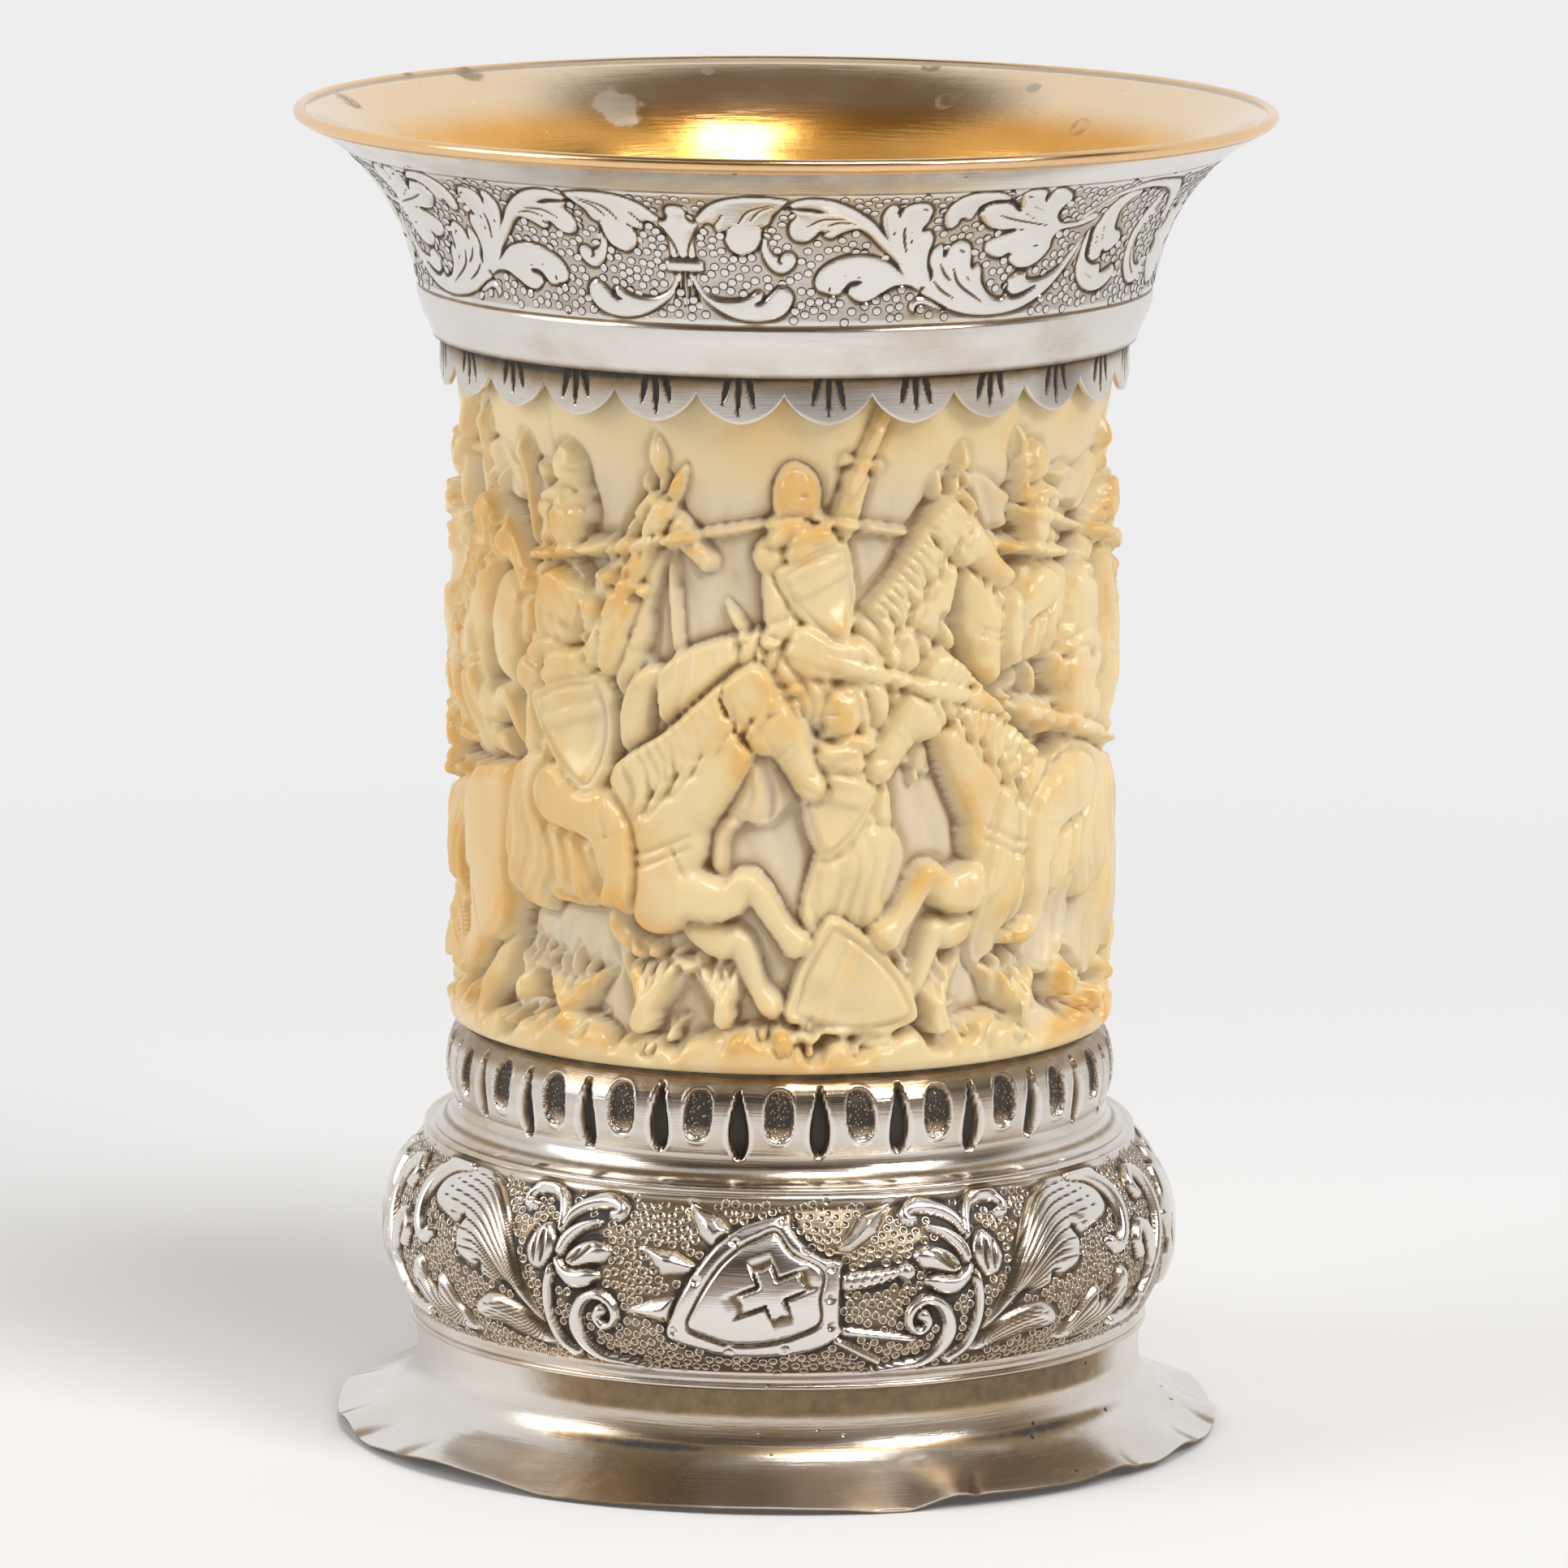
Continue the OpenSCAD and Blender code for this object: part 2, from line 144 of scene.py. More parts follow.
class Relief:
    """Heights in millimetres over a band laid flat: x runs round it from the back, y up its outline."""

    def __init__(self, around, columns, run, rows):
        self.around, self.columns, self.rows = around, columns, rows
        self.dx, self.dy = around / columns, run / (rows - 1)
        self.up = np.arange(rows)[None, :] * self.dy
        self.height = np.zeros((columns, rows))
        self.cover = np.zeros((columns, rows))
        self.lines = np.zeros((columns, rows))

    def window(self, points, reach):
        """Cells near some points: their indices in the arrays, and their places."""
        low, high = points[:, :2].min(0) - reach, points[:, :2].max(0) + reach
        across = np.arange(math.floor(low[0] / self.dx), math.ceil(high[0] / self.dx) + 1)
        first, last = math.floor(low[1] / self.dy), math.ceil(high[1] / self.dy) + 1
        up = np.arange(max(0, first), min(self.rows, last))
        cells = np.ix_((across + self.columns // 2) % self.columns, up)
        return cells, across[:, None] * self.dx, up[None, :] * self.dy

    def blurred(self, values, size):
        """Values averaged over about that many millimetres, round the seam and mirrored at the edges."""
        tall = np.concatenate([values, values[:, ::-1]], 1)
        fx = np.fft.fftfreq(tall.shape[0], self.dx)[:, None]
        fy = np.fft.rfftfreq(tall.shape[1], self.dy)[None, :]
        keep = np.exp(-2 * (math.pi * size) ** 2 * (fx * fx + fy * fy))
        return np.fft.irfft2(np.fft.rfft2(tall) * keep, s=tall.shape)[:, : self.rows]

    def leaves(self, outlines, rise, edge, groove, groove_width, straight=False):
        """Leaves that grow into each other: domed up from one common outline with a groove round it."""
        curves = [np.asarray(o, float) if straight else curve_through(o, closed=True) for o in outlines]
        cells, x, y = self.window(np.vstack(curves), 3)
        d = np.full(np.broadcast(x, y).shape, 1e9)
        for curve in curves:
            d = np.minimum(d, to_outline(x, y, curve))
        body = rise * (np.minimum(-d, edge) / edge if straight else 1 - np.exp(np.minimum(d, 0) / edge))
        old = self.height[cells]
        self.height[cells] = np.where(d < 0, body, old) - groove * bell(d, groove_width)
        self.cover[cells] = np.maximum(self.cover[cells], ramp(-d, -0.34, -0.06))

    def stem(self, chain, rise, groove, groove_width):
        """A round stem along a tapering line, with a groove on both sides."""
        chain = curve_through(chain)
        cells, x, y = self.window(chain, chain[:, 2].max() + 1.2)
        q, r = to_chain(x, y, chain)
        d = (q - 1) * r
        body = rise * np.sqrt(np.clip(1 - q * q, 0, 1))
        old = self.height[cells]
        self.height[cells] = np.where(d < 0, np.maximum(body, 0.25 * old + body * 0.8), old)
        self.height[cells] -= groove * bell(d, groove_width)
        self.cover[cells] = np.maximum(self.cover[cells], ramp(-d, -0.34, -0.06))

    def cut(self, points, width, depth):
        """A chiselled line that tapers to both ends."""
        line = curve_through(points) if len(points) > 2 else np.asarray(points, float)
        along = np.linspace(0, 1, len(line))
        swell = np.maximum(0.25, np.sqrt(np.clip(1 - (2 * along - 1) ** 2, 0, 1)))
        chain = np.column_stack([line, width * swell])
        cells, x, y = self.window(chain, 2 * width)
        q, _ = to_chain(x, y, chain)
        line = np.exp(-(q * q) * 1.4)
        self.height[cells] -= depth * line
        self.lines[cells] = np.maximum(self.lines[cells], line * min(1, depth / 0.15))

    def fan(self, curves, count, width, depth):
        """Lines that lead over from each curve to the next."""
        curves = np.asarray(curves, float)
        for place in np.linspace(0, len(curves) - 1, count):
            first = min(int(place), len(curves) - 2)
            share = place - first
            self.cut(curves[first] * (1 - share) + curves[first + 1] * share, width, depth)

    def cavity(self, size, depth):
        """1 where the surface lies that deep below what is round it."""
        return np.clip((self.blurred(self.height, size) - self.height) / depth, 0, 1)


# Frieze of the mouth: degrees from the clasp, and millimetres up the mount's outline. One half, mirrored.

CLASP_LEAF = [
    [(0.4, 12.0), (0.6, 13.6), (1.3, 15.2), (2.5, 16.8), (4.3, 18.5), (6.5, 19.6), (9.3, 20.1),
     (12.5, 20.1), (14.9, 19.6), (14.3, 18.4), (13.2, 17.4), (12.6, 16.2), (11.7, 15.6), (11.4, 14.2),
     (10.5, 13.0), (8.5, 12.4), (6.9, 13.0), (6.2, 14.2), (6.4, 15.2), (5.3, 15.0), (4.8, 15.9),
     (3.9, 16.1), (2.7, 15.0), (1.9, 13.6), (1.8, 12.0)],
]
CRESCENT_LEAF = [
    [(1.3, 10.4), (1.9, 9.4), (3.1, 8.5), (5.1, 8.0), (7.5, 8.0), (9.5, 8.4), (10.5, 8.9), (11.5, 8.7),
     (11.7, 8.1), (12.7, 8.7), (13.9, 9.4), (15.1, 9.2), (16.0, 8.4), (15.8, 7.4), (14.8, 6.5),
     (12.9, 5.9), (10.3, 5.7), (7.7, 5.9), (5.3, 6.5), (3.1, 7.5), (1.4, 8.8), (0.5, 10.4)],
]
VOLUTE = [
    [(11.3, 15.0), (11.2, 13.4), (11.7, 12.0), (12.8, 10.9), (14.3, 10.5), (15.7, 11.0), (16.4, 12.0),
     (15.9, 12.8), (14.9, 13.0), (14.0, 12.6), (13.1, 12.7), (12.4, 13.4), (12.1, 14.4)],
]
NODE_LEAVES = [
    [(32.1, 10.7), (30.2, 12.0), (27.9, 13.5), (26.1, 14.8), (24.5, 15.5), (22.7, 15.1), (21.1, 14.4),
     (20.0, 14.7), (19.6, 15.3), (18.7, 14.5), (17.5, 14.0), (15.9, 14.2), (15.1, 15.2), (15.2, 16.4),
     (15.9, 17.4), (15.1, 18.4), (15.9, 19.5), (18.1, 20.0), (20.9, 19.6), (23.7, 18.4), (26.3, 16.8),
     (28.3, 15.2), (30.7, 13.5), (33.2, 11.5)],
    [(28.3, 15.1), (27.6, 16.8), (27.8, 18.1), (28.7, 18.9), (29.7, 18.4), (29.9, 17.7), (30.5, 18.6),
     (32.1, 19.1), (33.7, 18.8), (34.6, 17.8), (34.5, 16.4), (33.9, 15.4), (35.0, 15.3), (35.9, 14.2),
     (35.7, 12.6), (35.9, 11.2), (36.5, 10.2), (36.8, 8.9), (33.7, 9.2), (31.7, 10.5), (30.2, 12.5)],
    [(36.5, 10.2), (35.7, 11.6), (35.9, 12.9), (37.1, 13.6), (37.9, 13.0), (38.1, 12.4), (38.6, 13.4),
     (40.0, 14.0), (41.7, 13.5), (42.5, 12.3), (42.9, 11.0), (43.7, 11.3), (44.7, 10.6), (45.3, 9.2),
     (46.9, 8.0), (49.0, 7.6), (49.8, 8.5), (49.7, 9.4), (51.1, 10.1), (53.0, 9.9), (53.4, 9.3),
     (55.7, 9.3), (58.7, 10.1), (61.1, 12.0), (62.9, 13.8), (61.7, 11.2), (59.7, 9.0), (56.7, 7.3),
     (52.7, 6.2), (47.7, 5.8), (42.7, 6.1), (38.7, 7.0), (35.2, 8.3)],
    [(35.2, 8.6), (33.2, 9.1), (31.2, 9.1), (29.2, 8.4), (27.3, 7.7), (25.5, 7.7), (24.1, 8.4),
     (23.7, 8.9), (22.5, 8.3), (20.7, 8.5), (19.4, 8.9), (18.9, 9.8), (19.6, 11.0), (21.3, 12.0),
     (23.5, 12.6), (25.9, 12.7), (28.3, 12.3), (30.3, 11.6), (32.1, 10.7), (34.7, 9.8)],
]
TENDRIL = [
    [(39.2, 6.7), (36.7, 7.8), (34.9, 8.1), (33.7, 7.6), (33.6, 6.9), (34.5, 6.5), (34.8, 7.1),
     (36.0, 7.2), (37.9, 6.8)],
]
FLOWER_LEAVES = [
    [(44.0, 13.4), (44.3, 12.5), (45.5, 11.9), (47.3, 11.6), (48.6, 12.0), (48.9, 11.3), (49.9, 10.7),
     (51.7, 10.3), (53.7, 10.5), (55.3, 11.3), (56.2, 12.4), (56.0, 13.4), (56.7, 14.2), (58.7, 14.4),
     (61.2, 14.7), (63.6, 15.6), (61.7, 16.0), (59.7, 15.2), (57.7, 15.1), (55.9, 15.5), (54.9, 16.4),
     (55.0, 17.4), (55.7, 18.3), (55.0, 19.2), (53.3, 20.1), (51.7, 20.3), (51.1, 19.6), (50.9, 18.8),
     (50.3, 19.9), (48.9, 20.4), (47.3, 20.2), (46.6, 19.4), (47.4, 17.5), (46.1, 18.5), (44.3, 18.9),
     (42.3, 18.6), (41.4, 17.6), (41.5, 16.9), (42.5, 15.9), (44.1, 15.1), (46.1, 14.8), (48.0, 14.8),
     (46.1, 14.3), (44.7, 13.9)],
    [(45.6, 18.8), (43.7, 20.0), (41.5, 20.4), (39.3, 20.3), (37.6, 19.6), (36.5, 18.4), (36.3, 16.8),
     (36.9, 15.6), (38.0, 15.3), (38.9, 15.9), (39.1, 16.6), (39.9, 16.3), (40.7, 16.5), (41.0, 17.4),
     (41.3, 18.3), (42.5, 18.8), (44.1, 18.7)],
    [(60.0, 15.2), (62.2, 16.4), (65.2, 18.0), (69.2, 18.6), (73.7, 18.4), (78.7, 17.4), (82.2, 15.4),
     (83.6, 13.6), (85.0, 14.0), (83.6, 16.6), (80.0, 18.9), (75.0, 19.6), (70.2, 19.8), (66.7, 19.2),
     (64.2, 18.3), (62.2, 17.0), (60.0, 16.0)],
    [(64.7, 16.8), (64.1, 14.6), (63.7, 13.0), (64.0, 11.8), (65.1, 10.8), (66.9, 10.2), (68.5, 10.7),
     (68.3, 11.3), (69.7, 11.0), (71.3, 11.6), (72.1, 12.5), (71.1, 13.3), (69.3, 13.8), (68.3, 15.2),
     (67.9, 16.2), (68.6, 17.3), (70.3, 18.4), (67.2, 18.6)],
    [(63.3, 14.2), (62.9, 11.2), (63.1, 9.6), (64.3, 8.3), (66.3, 7.4), (68.9, 7.0), (71.5, 7.3),
     (73.4, 8.2), (73.8, 9.2), (72.7, 9.7), (71.1, 9.3), (69.7, 9.1), (69.1, 9.9), (67.3, 10.0),
     (65.5, 10.5), (64.3, 11.6)],
    [(75.2, 12.2), (76.0, 9.6), (78.5, 7.6), (81.5, 7.0), (83.6, 7.8), (83.9, 9.2), (82.8, 9.7),
     (82.0, 9.0), (80.2, 9.4), (78.3, 10.8), (77.3, 13.0), (78.2, 15.2), (77.6, 17.8), (75.8, 15.0)],
]
AXIS_PALMETTE = [
    [(90.0, 6.4), (87.4, 7.4), (85.6, 9.4), (86.6, 10.6), (85.2, 12.0), (87.0, 13.0), (87.2, 14.9),
     (88.7, 14.7), (90.0, 16.8), (91.3, 14.7), (92.8, 14.9), (93.0, 13.0), (94.8, 12.0), (93.4, 10.6),
     (94.4, 9.4), (92.6, 7.4)],
]
TREFOIL = [
    [(0.5, 12.0), (1.2, 13.6), (2.3, 15.2), (2.9, 16.2), (2.0, 16.4), (1.5, 16.9), (1.5, 17.8),
     (0.8, 18.5), (-0.8, 18.5), (-1.5, 17.8), (-1.5, 16.9), (-2.0, 16.4), (-2.9, 16.2), (-2.3, 15.2),
     (-1.2, 13.6), (-0.5, 12.0)],
]
CLASP_BAR = [
    [(-2.6, 10.6), (-2.9, 11.2), (-2.6, 11.8), (0, 11.9), (2.6, 11.8), (2.9, 11.2), (2.6, 10.6), (0, 10.5)],
]
CLASP_LINES = [
    [(0.3, 10.3), (0.5, 8.8), (0.3, 7.2)],
    [(1.0, 9.6), (1.5, 8.2), (2.2, 7.0)],
]
# Veins and notches of the same half: how deep each is, how wide, and its points.
MOUTH_VEINS = [
    (0.10, 0.13, [(8.2, 16.3), (9.9, 18.2), (13.7, 19.3)]),
    (0.10, 0.13, [(9.9, 16.8), (11.3, 18.2), (13.3, 18.9)]), (0.16, 0.22, [(6.4, 15.2), (7.3, 16.1)]),
    (0.20, 0.26, [(4.9, 15.9), (6.2, 17.5)]), (0.16, 0.20, [(11.7, 15.6), (11.0, 16.3)]),
    (0.16, 0.22, [(11.7, 8.2), (11.3, 7.8), (10.3, 7.5)]), (0.08, 0.12, [(6.5, 7.1), (9.8, 7.1)]),
    (0.14, 0.18, [(14.0, 12.5), (13.8, 12.0), (14.3, 11.8)]),
    (0.20, 0.26, [(14.2, 18.3), (17.5, 18.4), (19.8, 18.0)]),
    (0.10, 0.13, [(17.7, 16.2), (19.7, 17.1), (23.0, 17.2)]),
    (0.10, 0.13, [(20.2, 16.2), (22.0, 16.7), (24.2, 16.4)]), (0.16, 0.22, [(19.8, 14.9), (20.5, 15.5)]),
    (0.11, 0.13, [(29.5, 16.0), (29.9, 14.3)]), (0.11, 0.13, [(31.0, 16.0), (31.3, 14.5), (32.0, 12.8)]),
    (0.11, 0.13, [(32.2, 15.3), (32.5, 13.8)]), (0.16, 0.22, [(29.8, 17.9), (30.1, 17.1)]),
    (0.16, 0.34, [(33.0, 18.3), (33.6, 18.1)]), (0.16, 0.34, [(40.1, 13.0), (40.8, 12.7)]),
    (0.20, 0.30, [(23.6, 8.7), (24.3, 9.5), (25.8, 9.8)]), (0.16, 0.22, [(21.1, 8.6), (21.4, 9.5)]),
    (0.08, 0.12, [(23.7, 11.2), (26.7, 11.2)]), (0.08, 0.12, [(23.2, 10.5), (25.7, 10.3)]),
    (0.11, 0.14, [(37.5, 11.5), (38.5, 10.4), (39.7, 9.6)]),
    (0.11, 0.15, [(39.7, 11.0), (41.2, 9.2), (45.5, 7.3)]),
    (0.11, 0.14, [(36.9, 9.7), (38.4, 8.7), (40.4, 7.9)]), (0.11, 0.14, [(41.5, 10.6), (43.2, 9.2)]),
    (0.20, 0.26, [(49.4, 8.5), (50.7, 7.7), (52.7, 7.8), (55.1, 8.5)]),
    (0.16, 0.20, [(37.9, 13.0), (38.0, 12.2)]),
    (0.22, 0.28, [(41.4, 17.0), (41.8, 18.3), (43.4, 18.8), (45.6, 18.5), (47.6, 17.3)]),
    (0.10, 0.13, [(44.2, 17.1), (47.7, 16.2), (53.7, 15.2)]), (0.10, 0.13, [(49.2, 18.0), (51.5, 17.2)]),
    (0.10, 0.13, [(48.2, 17.2), (50.9, 16.1)]), (0.10, 0.13, [(51.4, 12.8), (54.2, 13.0)]),
    (0.18, 0.22, [(48.5, 12.0), (49.7, 12.1)]), (0.16, 0.34, [(47.4, 19.5), (48.0, 19.3)]),
    (0.18, 0.22, [(48.0, 14.8), (49.3, 14.9)]), (0.18, 0.24, [(50.9, 19.0), (51.1, 18.3)]),
    (0.10, 0.13, [(65.7, 14.2), (66.7, 12.6)]), (0.10, 0.13, [(65.0, 13.4), (65.6, 12.2)]),
    (0.18, 0.20, [(63.9, 14.2), (64.5, 11.9), (65.3, 10.8)]), (0.10, 0.12, [(65.4, 9.2), (67.2, 8.6)]),
    (0.12, 0.16, [(80.0, 8.2), (77.6, 10.0), (76.6, 12.5)]),
]

# Embossing of the base: degrees from the shield's axis, and millimetres up the drum's outline.
# One half, mirrored.

DRUM_PETALS = [
    [(24.4, 10.9), (25.3, 9.9), (27.1, 9.3), (29.1, 9.4), (30.9, 10.4), (31.7, 11.6), (31.0, 12.2),
     (29.0, 11.6), (26.5, 11.6)],
    [(22.9, 13.1), (23.7, 13.9), (25.5, 14.2), (27.5, 13.8), (29.1, 12.9), (29.5, 11.8), (28.1, 11.3),
     (25.7, 11.7), (23.9, 12.1)],
    [(32.1, 13.2), (32.9, 14.8), (34.3, 15.2), (35.9, 14.2), (36.8, 12.6), (36.1, 11.2), (34.5, 10.8),
     (33.1, 11.4)],
]
DRUM_LEAVES = [
    [(31.5, 3.0), (33.5, 4.6), (36.0, 6.0), (39.5, 6.9), (43.3, 7.3), (46.1, 6.6), (47.5, 5.6),
     (47.1, 4.6), (45.3, 4.2), (42.0, 4.0), (38.5, 3.3), (34.5, 2.7)],
    [(33.5, 4.9), (35.5, 7.2), (37.5, 9.8), (39.7, 13.0), (42.5, 16.2), (46.5, 18.6), (51.5, 19.4),
     (56.5, 18.9), (60.2, 17.2), (61.0, 15.2), (59.5, 14.1), (56.5, 13.6), (53.5, 13.2), (51.4, 14.0),
     (52.4, 12.6), (52.0, 11.2), (51.0, 10.2), (47.8, 9.5), (46.0, 9.9), (45.5, 8.9), (43.0, 8.4),
     (40.5, 8.5), (38.0, 7.4)],
    [(48.0, 2.6), (50.0, 4.4), (51.8, 5.4), (54.6, 7.4), (56.4, 7.7), (57.2, 6.0), (59.6, 6.6),
     (61.6, 8.8), (64.0, 8.4), (64.6, 6.0), (62.0, 4.0), (57.0, 2.8), (52.0, 2.2)],
    [(90.0, 2.6), (85.6, 4.2), (82.6, 6.8), (83.8, 9.0), (81.6, 11.4), (84.0, 13.4), (85.0, 16.4),
     (88.0, 16.2), (90.0, 18.4), (92.0, 16.2), (95.0, 16.4), (96.0, 13.4), (98.4, 11.4), (96.2, 9.0),
     (97.4, 6.8), (94.4, 4.2)],
]
# Stems and curls: points with their radius in millimetres.
DRUM_STEMS = [
    [(17.0, 1.5, 0.25), (20.5, 1.9, 0.35), (24.0, 2.2, 0.45), (26.7, 3.4, 0.6), (28.0, 5.2, 0.65),
     (27.7, 6.9, 0.6), (26.4, 8.3, 0.55), (24.3, 8.9, 0.5), (22.3, 8.3, 0.45), (21.5, 7.2, 0.4),
     (22.0, 6.1, 0.4), (23.5, 5.8, 0.4), (24.5, 6.6, 0.4), (23.8, 7.3, 0.6)],
    [(28.5, 2.4, 0.55), (31.0, 3.8, 0.45), (32.4, 6.5, 0.36), (32.6, 9.0, 0.36), (32.0, 11.0, 0.45)],
    [(31.2, 14.8, 0.3), (30.4, 16.3, 0.5), (28.8, 17.4, 0.62), (26.5, 18.1, 0.68), (23.9, 18.3, 0.68),
     (22.2, 17.8, 0.62), (22.2, 17.0, 0.5), (23.3, 16.9, 0.4)],
    [(31.4, 14.8, 0.3), (31.9, 16.8, 0.45), (33.1, 18.2, 0.55), (35.5, 18.8, 0.6), (37.9, 18.5, 0.55),
     (39.0, 17.6, 0.5), (38.6, 16.8, 0.48), (37.6, 16.9, 0.45)],
    [(25.3, 16.0, 0.25), (28.0, 15.3, 0.5), (30.1, 14.0, 0.6), (31.1, 12.2, 0.5)],
    [(54.5, 19.0, 0.5), (59.5, 18.6, 0.8), (63.2, 17.0, 0.9), (64.4, 14.6, 0.8), (63.4, 12.0, 0.7),
     (61.2, 10.8, 0.6), (59.6, 11.6, 0.55)],
    [(62.0, 3.0, 0.5), (66.5, 3.4, 0.6), (70.5, 5.2, 0.65), (72.6, 8.0, 0.65), (72.0, 10.8, 0.6),
     (69.4, 12.2, 0.55), (67.2, 11.0, 0.5), (68.0, 9.4, 0.5)],
    [(70.0, 5.0, 0.4), (74.5, 8.6, 0.6), (77.0, 12.6, 0.7), (76.2, 16.0, 0.65), (73.2, 17.6, 0.6),
     (70.8, 16.4, 0.55), (71.6, 15.0, 0.5)],
]
DRUM_VEINS = [
    (0.22, 0.16, [(27.0, 13.2), (28.0, 12.4), (29.3, 11.9)]),
    (0.22, 0.16, [(25.2, 13.6), (27.0, 12.5), (28.6, 11.7)]),
    (0.22, 0.16, [(33.8, 14.4), (33.6, 12.6), (33.9, 11.3)]),
    (0.22, 0.16, [(35.2, 14.0), (34.9, 12.6), (34.9, 11.3)]), (0.24, 0.18, [(90.0, 4.0), (90.0, 16.0)]),
    (0.24, 0.18, [(89.0, 5.0), (86.0, 8.0), (85.0, 11.0)]),
    (0.24, 0.18, [(91.0, 5.0), (94.0, 8.0), (95.0, 11.0)]),
]
# Fans of veins: curves from the foot of a leaf to its tips, and how many lines they are filled up to.
DRUM_FANS = [
    (7, [[(33.6, 4.2), (36.5, 5.7), (40.0, 6.4), (43.5, 6.7)],
         [(33.8, 3.9), (37.0, 5.1), (40.5, 5.8), (45.0, 6.2)],
         [(34.0, 3.5), (37.5, 4.4), (41.0, 5.0), (45.5, 5.3)],
         [(34.4, 3.1), (38.0, 3.7), (41.0, 4.3), (44.0, 4.6)]]),
    (11, [[(37.0, 8.6), (40.0, 13.0), (46.0, 17.6), (53.0, 18.7)],
          [(37.4, 8.4), (41.0, 12.4), (47.0, 16.2), (56.0, 17.4)],
          [(37.8, 8.2), (42.0, 11.6), (48.0, 14.6), (58.0, 15.6)],
          [(38.2, 8.0), (43.0, 10.8), (47.5, 12.6), (51.5, 12.9)],
          [(38.6, 7.8), (42.0, 9.6), (46.0, 11.0), (50.5, 11.2)],
          [(39.0, 7.6), (41.5, 8.6), (43.5, 9.2), (45.0, 9.5)]]),
    (6, [[(50.0, 3.6), (52.5, 5.0), (54.5, 6.4), (56.0, 7.0)],
         [(50.5, 3.2), (54.0, 4.4), (57.5, 5.4), (61.0, 7.4)],
         [(51.0, 2.8), (55.0, 3.6), (59.5, 4.4), (63.3, 6.4)]]),
]
SHIELD = [
    (4.4, 17.9), (4.8, 16.4), (6.5, 14.8), (9.0, 13.6), (12.0, 13.1), (11.7, 11.8), (11.5, 9.5),
    (11.5, 7.2), (11.9, 6.0), (9.5, 4.6), (6.5, 3.8), (3.0, 3.4), (-1.0, 3.2), (-5.0, 3.3), (-9.0, 3.9),
    (-13.7, 5.2), (-12.7, 8.0), (-11.0, 10.5), (-9.0, 12.7), (-7.0, 14.5), (-5.0, 15.7), (-2.5, 16.8),
    (0.5, 17.5), (2.8, 17.8),
]
SHIELD_FIELD = [
    (2.2, 15.9), (4.5, 13.9), (8.8, 12.2), (8.5, 9.5), (8.5, 7.2), (5.5, 6.0), (2.5, 5.3), (-1.0, 4.9),
    (-4.5, 4.9), (-7.0, 5.4), (-10.4, 6.5), (-9.4, 8.6), (-7.5, 11.0), (-5.5, 12.9), (-3.0, 14.4),
    (-0.5, 15.3),
]
SHIELD_RIVETS = [
    (3.1, 16.9), (-3.8, 14.8), (-9.2, 11.0), (-12.4, 6.1), (-4.5, 4.1), (3.5, 4.5), (10.0, 6.9), (9.9, 9.6),
    (10.1, 12.4), (6.6, 14.1),
]
# The notched cross on the field: its middle, half length, half width and lean.
CROSS = (1.6, 10.1, 3.2, 0.85, 21.0)
# Blades behind the shield, and the hilt and shafts that stick out on its other side.
BLADES = [
    [(-11.6, 19.2), (-9.0, 18.3), (-6.2, 17.7), (-4.0, 15.9), (-7.0, 14.0), (-9.5, 15.6), (-10.8, 17.4)],
    [(-18.2, 14.1), (-12.9, 14.0), (-9.0, 12.5), (-10.0, 11.6), (-14.6, 11.3), (-16.4, 12.7)],
    [(-20.0, 7.5), (-15.9, 8.9), (-12.0, 9.5), (-12.4, 6.0), (-15.9, 6.7)],
    [(20.6, 19.1), (15.0, 17.8), (13.3, 16.0), (10.6, 14.2), (13.2, 14.0), (17.2, 15.7)],
]
SHAFTS = [
    [(11.0, 5.0, 0.4), (17.4, 2.4, 0.36)],
    [(12.0, 6.0, 0.5), (22.5, 4.9, 0.3)],
]
HILT = [(12.3, 11.0, 0.95), (15.8, 11.3, 0.85), (19.4, 11.7, 0.6)]
POMMEL = (21.2, 11.8, 0.95)


def placed(points, mm_per_degree, at, side=1):
    """Points in degrees moved to millimetres round the piece, mirrored where side is -1."""
    p = np.asarray(points, float).copy()
    p[:, 0] = (at + side * p[:, 0]) * mm_per_degree
    return p


def mouth_relief(columns, rows, run, radius):
    """The chased frieze of the mouth, twice round: flat leaves with cut outlines on a sunk ground."""
    relief = Relief(2 * math.pi * radius, columns, run, rows)
    per = relief.around / 360
    # Rise, rounding of the edge, depth and width of the groove round it.
    leaf, clasp = (0.16, 0.7, 0.24, 0.21), (0.2, 0.5, 0.24, 0.21)
    for half in (0, 180):
        at = CLASP_AT + half
        for side in (1, -1):
            for group in (NODE_LEAVES, TENDRIL, FLOWER_LEAVES, VOLUTE, CLASP_LEAF, CRESCENT_LEAF):
                relief.leaves([placed(o, per, at, side) for o in group], *leaf)
            for depth, width, points in MOUTH_VEINS:
                relief.cut(placed(points, per, at, side), 1.35 * width, 1.2 * depth)
            for points in CLASP_LINES:
                relief.cut(placed(points, per, at, side), 0.2, 0.2)
        for group in (TREFOIL, AXIS_PALMETTE, CLASP_BAR):
            relief.leaves([placed(o, per, at) for o in group], *clasp)
    y = relief.up
    for level, width, depth in ((5.25, 0.2, 0.22), (20.55, 0.13, 0.16)):
        relief.height -= depth * bell(y - level, width)
    relief.ground = (1 - relief.cover) * ramp(y, 5.7, 5.95) * (1 - ramp(y, 19.85, 20.1))
    relief.height -= 0.05 * (1 - relief.cover) * ramp(y, 5.3, 5.5) * (1 - ramp(y, 20.4, 20.6))
    return relief


